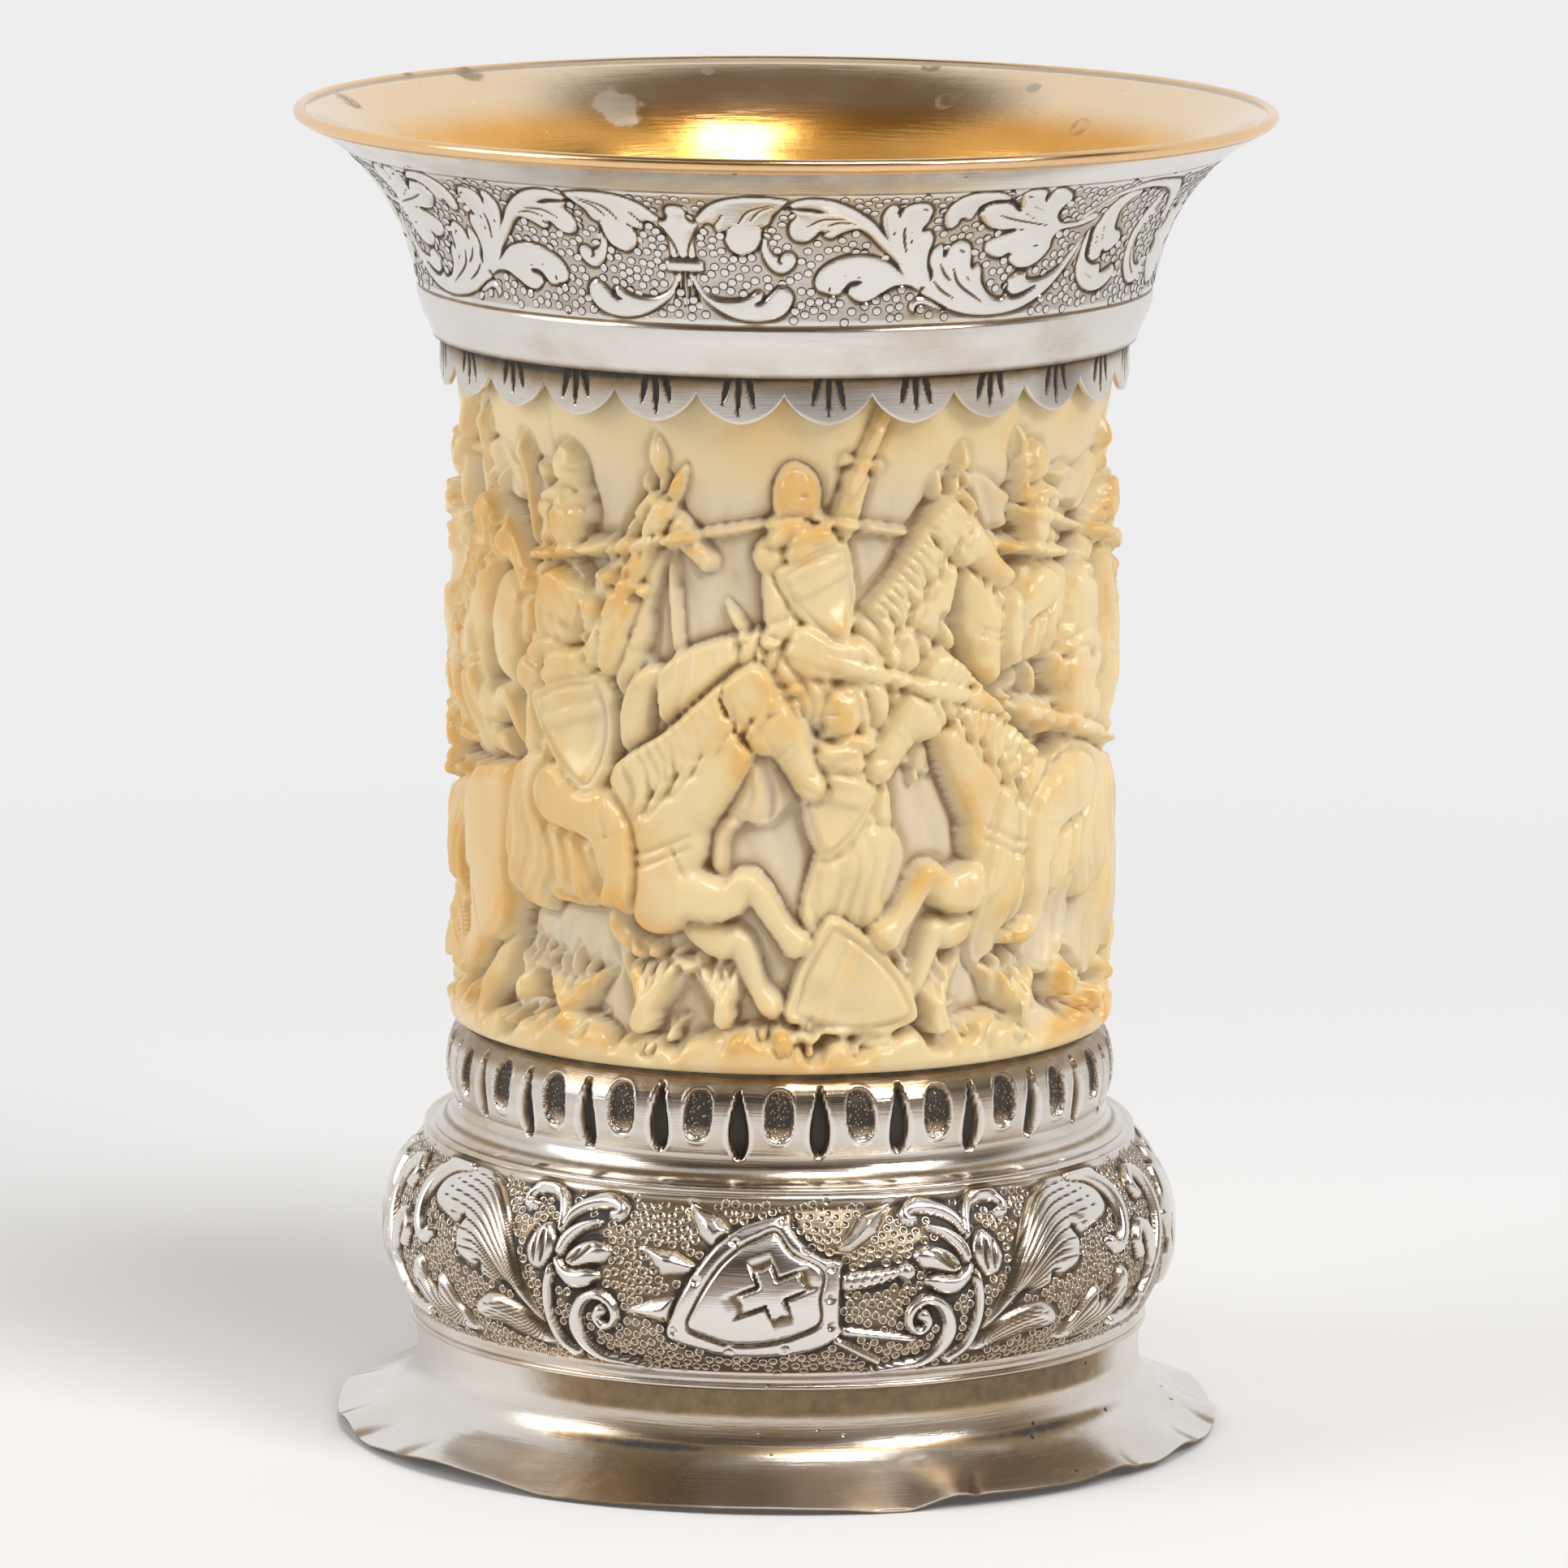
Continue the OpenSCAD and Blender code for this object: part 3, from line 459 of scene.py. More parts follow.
def drum_relief(columns, rows, run, radius):
    """The embossing of the base, twice round: shield, arms, blossoms and leaves on a matted ground."""
    relief = Relief(2 * math.pi * radius, columns, run, rows)
    per = relief.around / 360
    # Rise, rounding of the edge, depth and width of the groove round it.
    leaf, petal, blade = (0.85, 0.6, 0.12, 0.3), (1.0, 0.7, 0.2, 0.25), (0.75, 1.1, 0.15, 0.22)
    for half in (0, 180):
        at = SHIELD_AT + half
        for side in (1, -1):
            for outline in DRUM_LEAVES:
                relief.leaves([placed(outline, per, at, side)], *leaf)
            for count, curves in DRUM_FANS:
                relief.fan([placed(c, per, at, side) for c in curves], count, 0.15, 0.15)
            for stem in DRUM_STEMS:
                relief.stem(placed(stem, per, at, side) * (1, 1, 1.22), 0.8, 0.1, 0.25)
            for outline in DRUM_PETALS:
                outline = placed(outline, per, at, side)
                relief.leaves([outline.mean(0) + 1.16 * (outline - outline.mean(0))], *petal)
            for depth, width, points in DRUM_VEINS:
                relief.cut(placed(points, per, at, side), 1.5 * width, 1.4 * depth)
        for outline in BLADES:
            relief.leaves([placed(outline, per, at)], *blade, True)
        for shaft in SHAFTS:
            relief.stem(placed(shaft, per, at), 0.5, 0.08, 0.2)
        hilt = placed(HILT, per, at)
        relief.stem(hilt, 0.75, 0.1, 0.2)
        for turn in np.linspace(0.12, 0.88, 5):
            x = hilt[0, 0] + turn * (hilt[-1, 0] - hilt[0, 0])
            relief.cut([(x - 0.4, 10.1), (x + 0.4, 12.2)], 0.15, 0.4)
        ball = placed([POMMEL, POMMEL], per, at)
        ball[1, 0] += 0.01
        relief.stem(ball, 1.0, 0.1, 0.2)
        shield(relief, per, at)
    y = relief.up
    relief.height *= ramp(y, 0.4, 0.9) * (1 - ramp(y, run - 0.9, run - 0.3))
    relief.ground = (1 - relief.cover) * ramp(y, 0.9, 1.2) * (1 - ramp(y, run - 0.9, run - 0.6))
    return relief


def shield(relief, per, at):
    """A riveted shield with a domed field and a notched cross raised on it, with a groove round the cross.
    """
    relief.leaves([placed(SHIELD, per, at)], 0.85, 0.22, 0.2, 0.25)
    field = curve_through(placed(SHIELD_FIELD, per, at), closed=True)
    cells, x, y = relief.window(field, 1)
    d = to_outline(x, y, field)
    dome = 0.75 + 0.45 * (1 - np.exp(np.minimum(d, 0) / 2.2))
    relief.height[cells] = np.where(d < 0, dome, relief.height[cells]) - 0.35 * bell(d, 0.2)
    cx, cy, half, width, lean = CROSS
    lean = math.radians(lean)
    u = (x - (at + cx) * per) * math.cos(lean) + (y - cy) * math.sin(lean)
    v = (y - cy) * math.cos(lean) - (x - (at + cx) * per) * math.sin(lean)
    level = np.maximum(abs(u) / half, abs(v) / width)
    upright = np.maximum(abs(v) / (half * 0.8), abs(u) / width)
    arm = np.minimum(level, upright)
    notch = np.minimum(np.hypot(abs(u) - half, v), np.hypot(u, abs(v) - half * 0.8))
    sunk = (1 - ramp(arm, 0.9, 1.05)) * ramp(notch, 0.25, 0.45)
    relief.height[cells] += 0.3 * sunk - 0.35 * (ramp(arm, 0.85, 1.0) - ramp(arm, 1.05, 1.5))
    for rivet in SHIELD_RIVETS:
        p = placed([rivet, rivet], per, at)
        cells, x, y = relief.window(p, 1)
        r = np.hypot(x - p[0, 0], y - p[0, 1])
        relief.height[cells] -= 0.3 * (1 - ramp(r, 0.3, 0.48))


# Carving of the sleeve: rows of horsemen with shields, lances and pennons. Millimetres, each piece about
# its own middle and facing right: points with their radius.

TRUNK = [
    [(-8.5, 0.2, 4.5), (-4.0, 0.7, 4.1), (1.0, 0.2, 4.4), (6.0, 0.4, 4.3)],
    [(-8.7, -1.4, 4.3), (-8.4, -3.6, 3.1)],
    [(5.6, -0.6, 4.0), (6.6, -3.4, 2.6)],
]
# Neck and head bend about this point.
NECK_ROOT = (6.0, 1.0)
NECK = [(6.0, 1.8, 4.0), (8.4, 5.2, 3.1), (10.0, 8.4, 2.45), (10.9, 10.6, 2.0)]
HEAD = [
    [(11.1, 10.9, 2.0), (13.4, 9.2, 1.55), (15.2, 7.4, 1.15), (16.3, 6.3, 1.1)],
    [(12.1, 9.6, 1.9), (12.7, 9.0, 1.7)],
    [(10.6, 12.2, 0.6), (10.3, 13.6, 0.55), (10.6, 14.9, 0.15)],
    [(11.6, 12.4, 0.55), (11.9, 13.5, 0.5), (12.5, 14.5, 0.15)],
]
TAIL = [(-12.2, 2.8, 0.8), (-14.6, 2.2, 1.2), (-16.2, -1.2, 1.45), (-15.6, -5.2, 1.3), (-16.8, -8.8, 0.35)]
# Far fore leg, far hind leg, near fore leg and near hind leg, for a standing and a leaping horse.
GAITS = {
    "stand": [
        [(7.6, -3.0, 1.8), (10.6, -5.0, 1.25), (12.0, -5.8, 1.05), (11.3, -8.8, 0.75), (10.8, -10.2, 0.9),
         (11.2, -11.6, 1.0)],
        [(-6.6, -3.6, 2.2), (-5.0, -7.2, 1.4), (-6.4, -9.8, 1.05), (-5.6, -12.6, 0.8), (-5.0, -14.0, 0.9),
         (-4.2, -15.2, 1.05)],
        [(6.4, -3.4, 2.1), (7.1, -7.0, 1.35), (7.0, -9.0, 1.1), (7.0, -12.2, 0.8), (7.2, -13.8, 0.95),
         (8.1, -15.2, 1.1)],
        [(-9.2, -3.6, 2.6), (-8.6, -7.0, 1.6), (-10.6, -9.6, 1.1), (-10.2, -12.6, 0.82), (-9.8, -14.0, 0.95),
         (-9.0, -15.2, 1.1)],
    ],
    "leap": [
        [(7.4, -3.2, 1.8), (10.2, -6.4, 1.25), (11.8, -6.8, 1.05), (12.8, -9.6, 0.76), (13.6, -10.8, 1.0)],
        [(-7.4, -3.8, 2.2), (-7.8, -7.4, 1.4), (-10.2, -9.6, 1.05), (-10.8, -12.8, 0.8),
         (-10.2, -14.2, 1.05)],
        [(6.8, -2.6, 2.1), (10.8, -4.0, 1.35), (12.8, -3.2, 1.1), (14.6, -5.8, 0.8), (15.6, -7.0, 1.05)],
        [(-9.6, -3.4, 2.6), (-11.2, -6.6, 1.6), (-13.8, -8.4, 1.1), (-14.8, -11.6, 0.82),
         (-14.4, -13.2, 1.1)],
    ],
}
# Cuts over the muscles of a bare horse, cuts over any horse's head as (points, width, depth), and the line
# its mane grows on.
MUSCLES = [
    [(3.4, 3.4), (2.6, -0.6), (4.2, -4.4)],
    [(-4.6, 2.6), (-5.6, -0.8), (-5.0, -3.8)],
    [(-0.6, -3.2), (1.6, -3.9)],
    [(8.0, -0.4), (8.6, -2.2)],
    [(-10.4, -3.6), (-9.2, -6.4)],
]
BRIDLE = [
    ([(15.9, 7.0), (16.4, 6.9)], 0.3, 0.4), ([(16.9, 5.8), (15.4, 6.2)], 0.22, 0.4),
    ([(14.6, 8.9), (13.4, 7.0)], 0.2, 0.28), ([(15.0, 8.4), (13.9, 6.6)], 0.2, 0.28),
    ([(12.6, 12.0), (11.2, 8.4)], 0.2, 0.25), ([(13.7, 7.6), (11.6, 9.6), (9.6, 12.0)], 0.18, 0.22),
]
CREST = [(11.0, 12.6), (8.9, 10.4), (6.7, 7.6), (4.4, 4.9)]
# The rider: trunk, legs on foot and in the saddle, helm, and an arm that holds a lance or swings a sword.
BODY = [[(-1.2, 3.4, 2.7), (-1.1, 7.0, 2.6), (-0.4, 10.2, 2.7)], [(-2.2, 10.4, 1.7), (1.4, 10.5, 1.7)]]
STRIDE = [
    [(1.0, 3.0, 1.9), (2.6, -1.5, 1.55), (2.0, -5.4, 1.1), (2.6, -9.4, 0.9), (2.9, -10.9, 0.85),
     (4.6, -11.3, 0.55)],
    [(-1.0, 3.0, 2.0), (-1.9, -1.5, 1.65), (-2.6, -5.4, 1.2), (-3.2, -9.6, 0.95), (-2.9, -11.1, 0.9),
     (-1.2, -11.6, 0.6)],
]
LEG = [
    (-0.2, 3.0, 2.1), (3.2, 1.2, 1.7), (3.9, -2.0, 1.25), (3.3, -5.2, 0.95), (4.4, -6.5, 0.8),
    (5.8, -6.9, 0.5),
]
HELM = [[(0.3, 13.2, 1.95), (0.5, 14.9, 1.9), (0.4, 16.0, 1.2)], [(-1.4, 12.3, 1.2), (1.6, 12.2, 1.2)]]
# Folds of the coat, and cuts in the helm as (points, width, depth).
COAT_FOLDS = [
    [(-2.8, 9.6), (-1.6, 7.4), (-2.2, 5.6)],
    [(0.8, 9.4), (-0.2, 7.6), (0.4, 5.8)],
    [(-1.0, 9.0), (-1.0, 6.0)],
]
HELM_CUTS = [
    ([(0.6, 14.7), (2.2, 14.6)], 0.26, 0.5), ([(1.5, 12.2), (1.8, 16.0)], 0.16, 0.22),
    ([(-1.5, 13.5), (2.0, 13.4)], 0.16, 0.2), ([(-1.4, 16.0), (1.8, 16.2)], 0.16, 0.2),
]
ARMS = {
    "lance": [(0.6, 10.2, 1.6), (1.0, 7.6, 1.35), (4.2, 7.2, 1.1), (5.4, 7.5, 1.15)],
    "sword": [(0.4, 10.4, 1.6), (3.4, 11.4, 1.3), (5.0, 14.0, 1.05), (5.4, 15.0, 1.1)],
}
WEAPONS = {
    "lance": [(-9.0, 5.2, 0.5), (5.4, 7.5, 0.55), (8.0, 7.9, 0.85), (9.0, 8.1, 0.5), (24.0, 10.6, 0.38),
              (26.0, 10.9, 0.1)],
    "sword": [(4.7, 14.4, 0.4), (5.8, 15.8, 0.45), (6.2, 16.4, 0.62), (9.6, 21.6, 0.5), (10.8, 23.4, 0.08)],
}
# Outlines of a shield and of a pennon.
HEATER = [
    (0, -6.6), (-3.0, -3.6), (-4.6, 0.4), (-5.0, 4.6), (-2.6, 5.3), (0, 5.5), (2.6, 5.3), (5.0, 4.6),
    (4.6, 0.4), (3.0, -3.6),
]
PENNON = [
    (0, 2.6), (3.4, 3.4), (6.8, 2.0), (10.4, 2.6), (13.0, 1.6), (10.6, 0.2), (12.6, -1.6), (8.0, -1.4),
    (4.0, -2.6), (0, -1.8),
]
# Cloths that hang over the horse and from the rider's belt.
HOUSING = [
    (-13.0, 3.2), (-8.0, 4.9), (-2.0, 4.8), (4.0, 4.8), (7.6, 3.0), (8.8, -2.4), (8.4, -8.6), (5.2, -7.2),
    (1.6, -9.4), (-2.2, -7.6), (-6.2, -9.8), (-10.0, -8.2), (-13.8, -9.6), (-13.6, -3.0),
]
SKIRT = [
    (-3.8, 5.2), (1.6, 5.4), (3.0, 3.0), (3.4, -0.6), (1.8, -4.0), (-0.8, -2.6), (-3.0, -4.6), (-5.6, -2.6),
    (-5.4, 1.6),
]


def posed(points, at, size, side, turn=0.0, about=(0, 0)):
    """Points of a carved piece turned about a point, sized, mirrored and moved, with their radii."""
    p = np.asarray(points, float).copy()
    c, s = math.cos(math.radians(turn)), math.sin(math.radians(turn))
    x, y = p[:, 0] - about[0], p[:, 1] - about[1]
    p[:, 0] = at[0] + side * size * (about[0] + c * x - s * y)
    p[:, 1] = at[1] + size * (about[1] + s * x + c * y)
    if p.shape[1] > 2:
        p[:, 2] *= size
    return p


def swelling(radius):
    """How far a limb of that radius stands up: thin ones are round, thick ones are flattened."""
    return 3.3 * (1 - np.exp(-radius / 3.0))


class Carving(Relief):
    """High relief in layers: each piece rides on what lies behind it and is undercut along its outline."""

    def limbs(self, chains, step, keep=0.8, even=True):
        """Round limbs that flow into each other."""
        chains = [curve_through(c, steps=4) for c in chains]
        cells, x, y = self.window(np.vstack(chains), max(c[:, 2].max() for c in chains) + 2)
        top = np.zeros(np.broadcast(x, y).shape)
        away = np.full(top.shape, 1e9)
        for chain in chains:
            q, r = to_chain(x, y, chain)
            dome = swelling(r) * np.sqrt(np.clip(1 - q * q, 0, 1))
            soft = np.where((dome > 0) & (top > 0), np.clip(0.7 - abs(dome - top), 0, 1) ** 2 / 2.8, 0)
            top = np.maximum(top, dome) + soft
            away = np.minimum(away, (q - 1) * r)
        self.lay(cells, away, top, step, keep, even)

    def lay(self, cells, away, top, step, keep, even=True):
        """Puts a piece on what lies behind it, evened out if asked, and cuts in along its outline."""
        old = self.height[cells]
        behind = self.blurred(self.height, 1.8)[cells] if even else old
        face = step + keep * behind + top
        under = old - 0.32 * bell(np.maximum(away, 0), 0.5)
        self.height[cells] = np.where(away < 0, face, under)

    def plate(self, outline, rise, step, keep, edge=0.25):
        """A flat piece with a rounded edge."""
        curve = curve_through(outline, closed=True)
        cells, x, y = self.window(curve, 2)
        d = to_outline(x, y, curve)
        self.lay(cells, d, rise * (1 - np.exp(np.minimum(d, 0) / edge)), step, keep)
        return cells, x, y, d

    def drape(self, outline, at, size, side, turn, folds, depth):
        """A cloth whose folds fan out downwards: round ridges with sharp valleys, and a cut hem."""
        cells, x, y, d = self.plate(posed(outline, at, size, side, turn), 0.3, 0.12, 0.95, 0.3)
        c, s = math.cos(math.radians(turn)), math.sin(math.radians(turn))
        across, up = side * (x - at[0]) / size, (y - at[1]) / size
        u, v = c * across + s * up, c * up - s * across
        top, low = max(p[1] for p in outline), min(p[1] for p in outline)
        drop = np.clip((top - v) / (top - low), 0, 1)
        phase = folds * (u + 0.5 * np.sin(0.8 * v + u * 0.35)) / (0.72 + 0.42 * drop) + 0.6 * np.sin(1.1 * u)
        ridge = abs(np.sin(phase)) ** 0.8 + 0.3 * abs(np.sin(2.3 * phase + 1))
        inside = ramp(-d, 0.0, 0.7)
        self.height[cells] += depth * inside * (0.25 + 0.9 * drop) * (ridge - 0.75)
        self.height[cells] -= 0.16 * bell(d + 0.75, 0.16) * (drop > 0.5)

    def horse(self, at, size, side, gait, neck, turn, housing, arm, row_step):
        """A horse with its rider, from the far legs and the tail to the harness."""
        def put(points, bend=0.0):
            bent = posed(points, (0, 0), 1, 1, bend, NECK_ROOT)
            return posed(bent, at, size, side, turn)

        far_fore, far_hind, near_fore, near_hind = GAITS[gait]
        self.limbs([put(far_fore), put(far_hind)], 0.1, 0.6)
        self.limbs([put(TAIL)], 0.15)
        for strand in (-0.7, -0.2, 0.3, 0.8):
            self.cut(put([(x + strand, y) for x, y, _ in TAIL[1:]])[:, :2], 0.2 * size, 0.28)
        self.limbs([put(c) for c in TRUNK] + [put(near_fore), put(near_hind), put(NECK, neck)], row_step)
        if housing:
            self.drape(HOUSING, at, size, side, turn, 1.15, 0.5)
        else:
            for line in MUSCLES:
                self.cut(put(line), 0.5 * size, 0.3)
        self.limbs([put(c, neck) for c in HEAD], 0.25, 0.6)
        self.harness(put, neck, size)
        self.rider(put, at, size, side, turn, arm)

    def harness(self, put, neck, size):
        """Eye, nostril, mouth, bridle, breast strap and mane."""
        eye = put([(12.6, 10.7)], neck)[0]
        cells, x, y = self.window(eye[None, :2], 2)
        r = np.hypot(x - eye[0], y - eye[1]) / size
        self.height[cells] += 0.3 * bell(r, 0.3) - 0.3 * bell(r - 0.62, 0.2)
        for line, width, depth in BRIDLE:
            self.cut(put(line, neck)[:, :2], width * size, depth)
        for drop in (0.0, 0.75):
            strap = [(2.6, 2.6 - drop), (5.2, -0.6 - drop), (9.4, 0.4 - drop)]
            self.cut(put(strap)[:, :2], 0.2 * size, 0.28)
        for i, (x, y) in enumerate(curve_through(CREST, steps=5)):
            fall = 2.6 + 0.7 * math.sin(i * 2.1)
            tip = (x + 0.9, y - fall * 1.25, 0.1)
            lock = [(x, y, 0.5), (x + 0.9, y - 0.9, 0.46), (x + 1.3, y - fall * 0.75, 0.4), tip]
            self.limbs([put(lock, neck)], 0.02, 0.94, False)

    def walker(self, at, size, side, arm):
        """The same man on foot."""
        def put(points):
            return posed(points, at, size, side)

        self.limbs([put(leg) for leg in STRIDE], 0.5, 0.7)
        for knee in (2.0, -2.6):
            self.cut(put([(knee - 1.1, -5.0), (knee + 1.0, -5.2)]), 0.3 * size, 0.3)
        self.rider(put, at, size, side, 0, arm, False)

    def rider(self, put, at, size, side, turn, arm, seated=True):
        """A rider in a belted coat and a closed helm; one who swings a sword has a shield on the near side.
        """
        self.limbs([put(c) for c in BODY], 0.3, 0.75)
        for line in COAT_FOLDS:
            self.cut(put(line), 0.4 * size, 0.3)
        self.drape(SKIRT, at, size, side, turn, 1.7, 0.42)
        if seated:
            self.limbs([put(LEG)], 0.2, 0.8, False)
            self.cut(put([(2.6, 0.2), (4.6, 0.6)]), 0.3 * size, 0.3)
        self.limbs([put(c) for c in HELM], 0.3, 0.7, False)
        for line, width, depth in HELM_CUTS:
            self.cut(put(line), width * size, depth)
        self.limbs([put(WEAPONS[arm])], 0.35, 0.9, False)
        if arm == "sword":
            self.limbs([put([(4.6, 16.6, 0.4), (7.2, 15.6, 0.4)])], 0.1, 0.95, False)
        self.limbs([put(ARMS[arm])], 0.3, 0.75, False)
        if arm == "sword":
            place = put([(1.4, 7.0)])[0]
            self.shield(place, 0.62 * size, side * turn + 12 * side)

    def shield(self, at, size, turn):
        """A heater shield with a raised border, a ridge down its middle and a bar across."""
        cells, x, y, d = self.plate(posed(HEATER, at, size, 1, turn), 0.5, 0.5, 0.85, 0.3)
        self.height[cells] -= 0.25 * bell(d + size, 0.2)
        ridge = posed([(0, 4.2, 0.8), (0, -4.6, 0.5)], at, size, 1, turn)
        q, r = to_chain(x, y, ridge)
        inner = ramp(-d, size, 1.4 * size)
        self.height[cells] += 0.5 * inner * bell(q * r, 2.2 * size)
        bar = posed([(-4.4, 1.6, 0.7), (4.4, 1.6, 0.7)], at, size, 1, turn)
        q, r = to_chain(x, y, bar)
        self.height[cells] += 0.2 * inner * (1 - ramp(q, 0.85, 1.1))

    def lance(self, foot, tip, pennon, side):
        """An upright lance with a leaf-shaped head, and a pennon under it unless its size is 0."""
        foot, tip = np.array(foot, float), np.array(tip, float)
        along = (tip - foot) / np.linalg.norm(tip - foot)
        neck = tip - 4.0 * along
        if pennon:
            place = neck - 3.0 * along
            lean = math.degrees(math.atan2(along[1], along[0])) - 90
            flag = posed(PENNON, place, pennon, side, side * lean * 0.6)
            cells, x, y, d = self.plate(flag, 0.25, 0.25, 0.8)
            run = side * (x - place[0]) / pennon
            wave = abs(np.sin(0.62 * run + 0.3 * (y - place[1]) + 0.3)) - 0.6
            self.height[cells] += 0.55 * ramp(-d, 0, 0.6) * wave
        shaft = [(*foot, 0.6), (*((foot + neck) / 2), 0.56), (*neck, 0.5)]
        blade = [(*neck, 0.5), (*(neck + 1.4 * along), 0.95), (*(neck + 2.6 * along), 0.7), (*tip, 0.1)]
        self.limbs([shaft, blade], 0.25, 0.75)

    def tuft(self, at, size, lean):
        """A tuft of grass: blades that fan out from one foot."""
        for spread in (-1.0, -0.5, 0.0, 0.5, 1.0):
            bend = spread + lean
            blade = [(*at, 0.42 * size), (at[0] + 0.9 * bend * size, at[1] + 1.7 * size, 0.36 * size),
                     (at[0] + 2.0 * bend * size, at[1] + (3.1 - 0.7 * abs(spread)) * size, 0.12)]
            self.limbs([blade], 0.1, 0.85, False)


# Pieces from back to front. Lances stand from foot to tip, with the size and the side of a pennon.
LANCES = [
    ((-92, 26), (-86, 61), 1.0, 1), ((-80, 34), (-79, 60), 0.0, 1), ((-66, 30), (-61, 61), 0.9, -1),
    ((-40, 34), (-37, 62), 0.95, 1), ((-27, 30), (-30, 60), 0.0, 1), ((-10, 30), (-13, 61), 0.0, 1),
    ((14, 28), (19, 60), 1.05, 1), ((30, 30), (26, 61), 0.0, 1), ((41, 28), (45, 60), 0.95, -1),
    ((70, 34), (72, 61), 0.0, 1), ((80, 26), (85, 60), 1.0, 1), ((100, 30), (95, 61), 0.9, -1),
]
# Horses as (place, size, side, gait, lean of the neck, lean of the whole, cloth, arm of the rider).
FAR_HORSES = [
    ((-76, 41.5), 1.0, 1, "stand", 4, 0, False, "lance"), ((-24, 42), 1.0, 1, "stand", 2, 0, False, "lance"),
    ((29, 42), 1.0, -1, "stand", 4, 0, False, "lance"), ((83, 41.5), 1.0, -1, "stand", 2, 0, False, "lance"),
]
BACK_HORSES = [
    ((-99, 36), 1.25, 1, "stand", 4, 0, False, "lance"),
    ((-49, 36.5), 1.25, 1, "leap", -2, 4, True, "sword"), ((4, 37), 1.25, 1, "leap", -8, 10, True, "sword"),
    ((58, 36.5), 1.28, -1, "stand", 2, 4, True, "lance"),
]
FRONT_HORSES = [
    ((-74, 20.5), 1.45, 1, "stand", -8, 0, True, "sword"),
    ((84, 20.5), 1.45, -1, "leap", -6, 2, False, "sword"),
    ((35, 21), 1.5, -1, "leap", -14, 6, True, "lance"),
    ((-23, 21), 1.52, 1, "leap", -18, 5, False, "sword"),
]
# Men on foot as (place, size, side, arm), and shields on the ground as (place, size, lean).
WALKERS = [
    ((7.0, 17.0), 1.2, -1, "sword"), ((-49.5, 16.5), 1.15, 1, "lance"), ((59.5, 16.8), 1.18, 1, "sword"),
    ((-100, 16.6), 1.15, -1, "sword"),
]
FALLEN = [
    ((7.5, 8.0), 1.1, 66), ((-48, 7.6), 0.95, -60), ((57, 7.6), 0.95, 74), ((-98, 7.8), 1.0, 62),
    ((101, 8.8), 0.8, -66),
]


def ivory_relief(columns, rows, depth):
    """The carved field of the sleeve, laid flat: rough ground at its foot, a plain sky at its top."""
    radius, low, high = node_mm("ivory_sleeve")
    relief = Carving(2 * math.pi * radius, columns, high - low, rows)
    x, y = np.arange(columns)[:, None] * relief.dx, relief.up
    hollows = 0.22 * np.sin(x / 4.3 + np.sin(y / 5)) * np.sin(y / 4.1 + 1)
    relief.height += 0.1 + 2.4 * ramp(y, 50, 64) + hollows
    strokes = abs(np.sin(x / 0.9 + 1.7 * np.sin(y / 3.7) + 0.6 * np.sin(x / 2.9)))
    relief.height += 0.1 * strokes * (1 - ramp(y, 52, 58))
    for lance in LANCES:
        relief.lance(*lance)
    for horse in FAR_HORSES:
        relief.horse(*horse, 0.05)
    for horse in BACK_HORSES:
        relief.horse(*horse, 0.25)
    for i in range(26):
        at = (-101 + i * 7.9 + 1.5 * math.sin(i * 3.7), 4.2 + 1.6 * math.sin(i * 2.3))
        relief.tuft(at, 2.3 + 0.6 * math.sin(i * 1.3), 0.3 * math.sin(i * 4.1))
    for i in range(30):
        at, size = -103 + i * 6.87 + 1.8 * math.sin(i * 2.9), 2.6 + 0.9 * math.sin(i * 4.3)
        rock = [(at - 1.5, 1.2, size), (at + 1.2, 1.8 + math.sin(i * 1.9), size * 0.8)]
        relief.limbs([rock], 0.5, 0.5, False)
    for walker in WALKERS:
        relief.walker(*walker)
    for horse in FRONT_HORSES:
        relief.horse(*horse, 0.55)
    for piece in FALLEN:
        relief.shield(*piece)
    for i in range(34):
        at = (-100 + i * 6.06 + 2.0 * math.sin(i * 2.4), 2.6 + 1.0 * math.sin(i * 1.7))
        relief.tuft(at, 0.8 + 0.25 * math.sin(i * 3.1), 0.4 * math.sin(i * 5.0))
    h = relief.blurred(relief.height, 0.17)
    h = h + 0.9 * (h - relief.blurred(h, 0.85))
    mass = relief.blurred(h, 2.4)
    h = depth * (0.1 + 0.9 * (1 - np.exp(-mass / (0.55 * depth)))) + 1.1 * (h - mass)
    h = np.where(h < 0.5, 0.5 * np.exp(h / 0.5 - 1), h)
    h = np.where(h > 0.85 * depth, depth - 0.15 * depth * np.exp((0.85 * depth - h) / (0.15 * depth)), h)
    turn = x / relief.around
    edge = 2.3 + 0.7 * np.sin(turn * 22 * math.pi) + 0.4 * np.sin(turn * 58 * math.pi)
    ledge = depth * 0.86 - 0.4 * ramp(-y, -1.0, 0)
    relief.height = h + (ledge - h) * (1 - ramp(y, edge - 1.4, edge + 1.2))
    return relief


# Meshes round the axis.

# Share of the bake map's width that a wall takes, and the places and the size of a sector's caps beside it.
WALL_WIDE = 0.98
CAPS_AT = (0.984, 0.992)
CAP_SIZE = (0.006, 0.98)


def added(name, data):
    """A new object in the scene."""
    made = bpy.data.objects.new(name, data)
    bpy.context.collection.objects.link(made)
    return made


def row_normals(outline):
    """Outward directions along an outline that runs upwards."""
    run = np.gradient(outline, axis=0)
    out = np.stack([run[:, 1], -run[:, 0]], 1)
    return out / np.linalg.norm(out, axis=1)[:, None]


def raised(outline, height):
    """The outline for every column, moved outwards by the heights there."""
    return outline[None] + height[..., None] * row_normals(outline)[None]


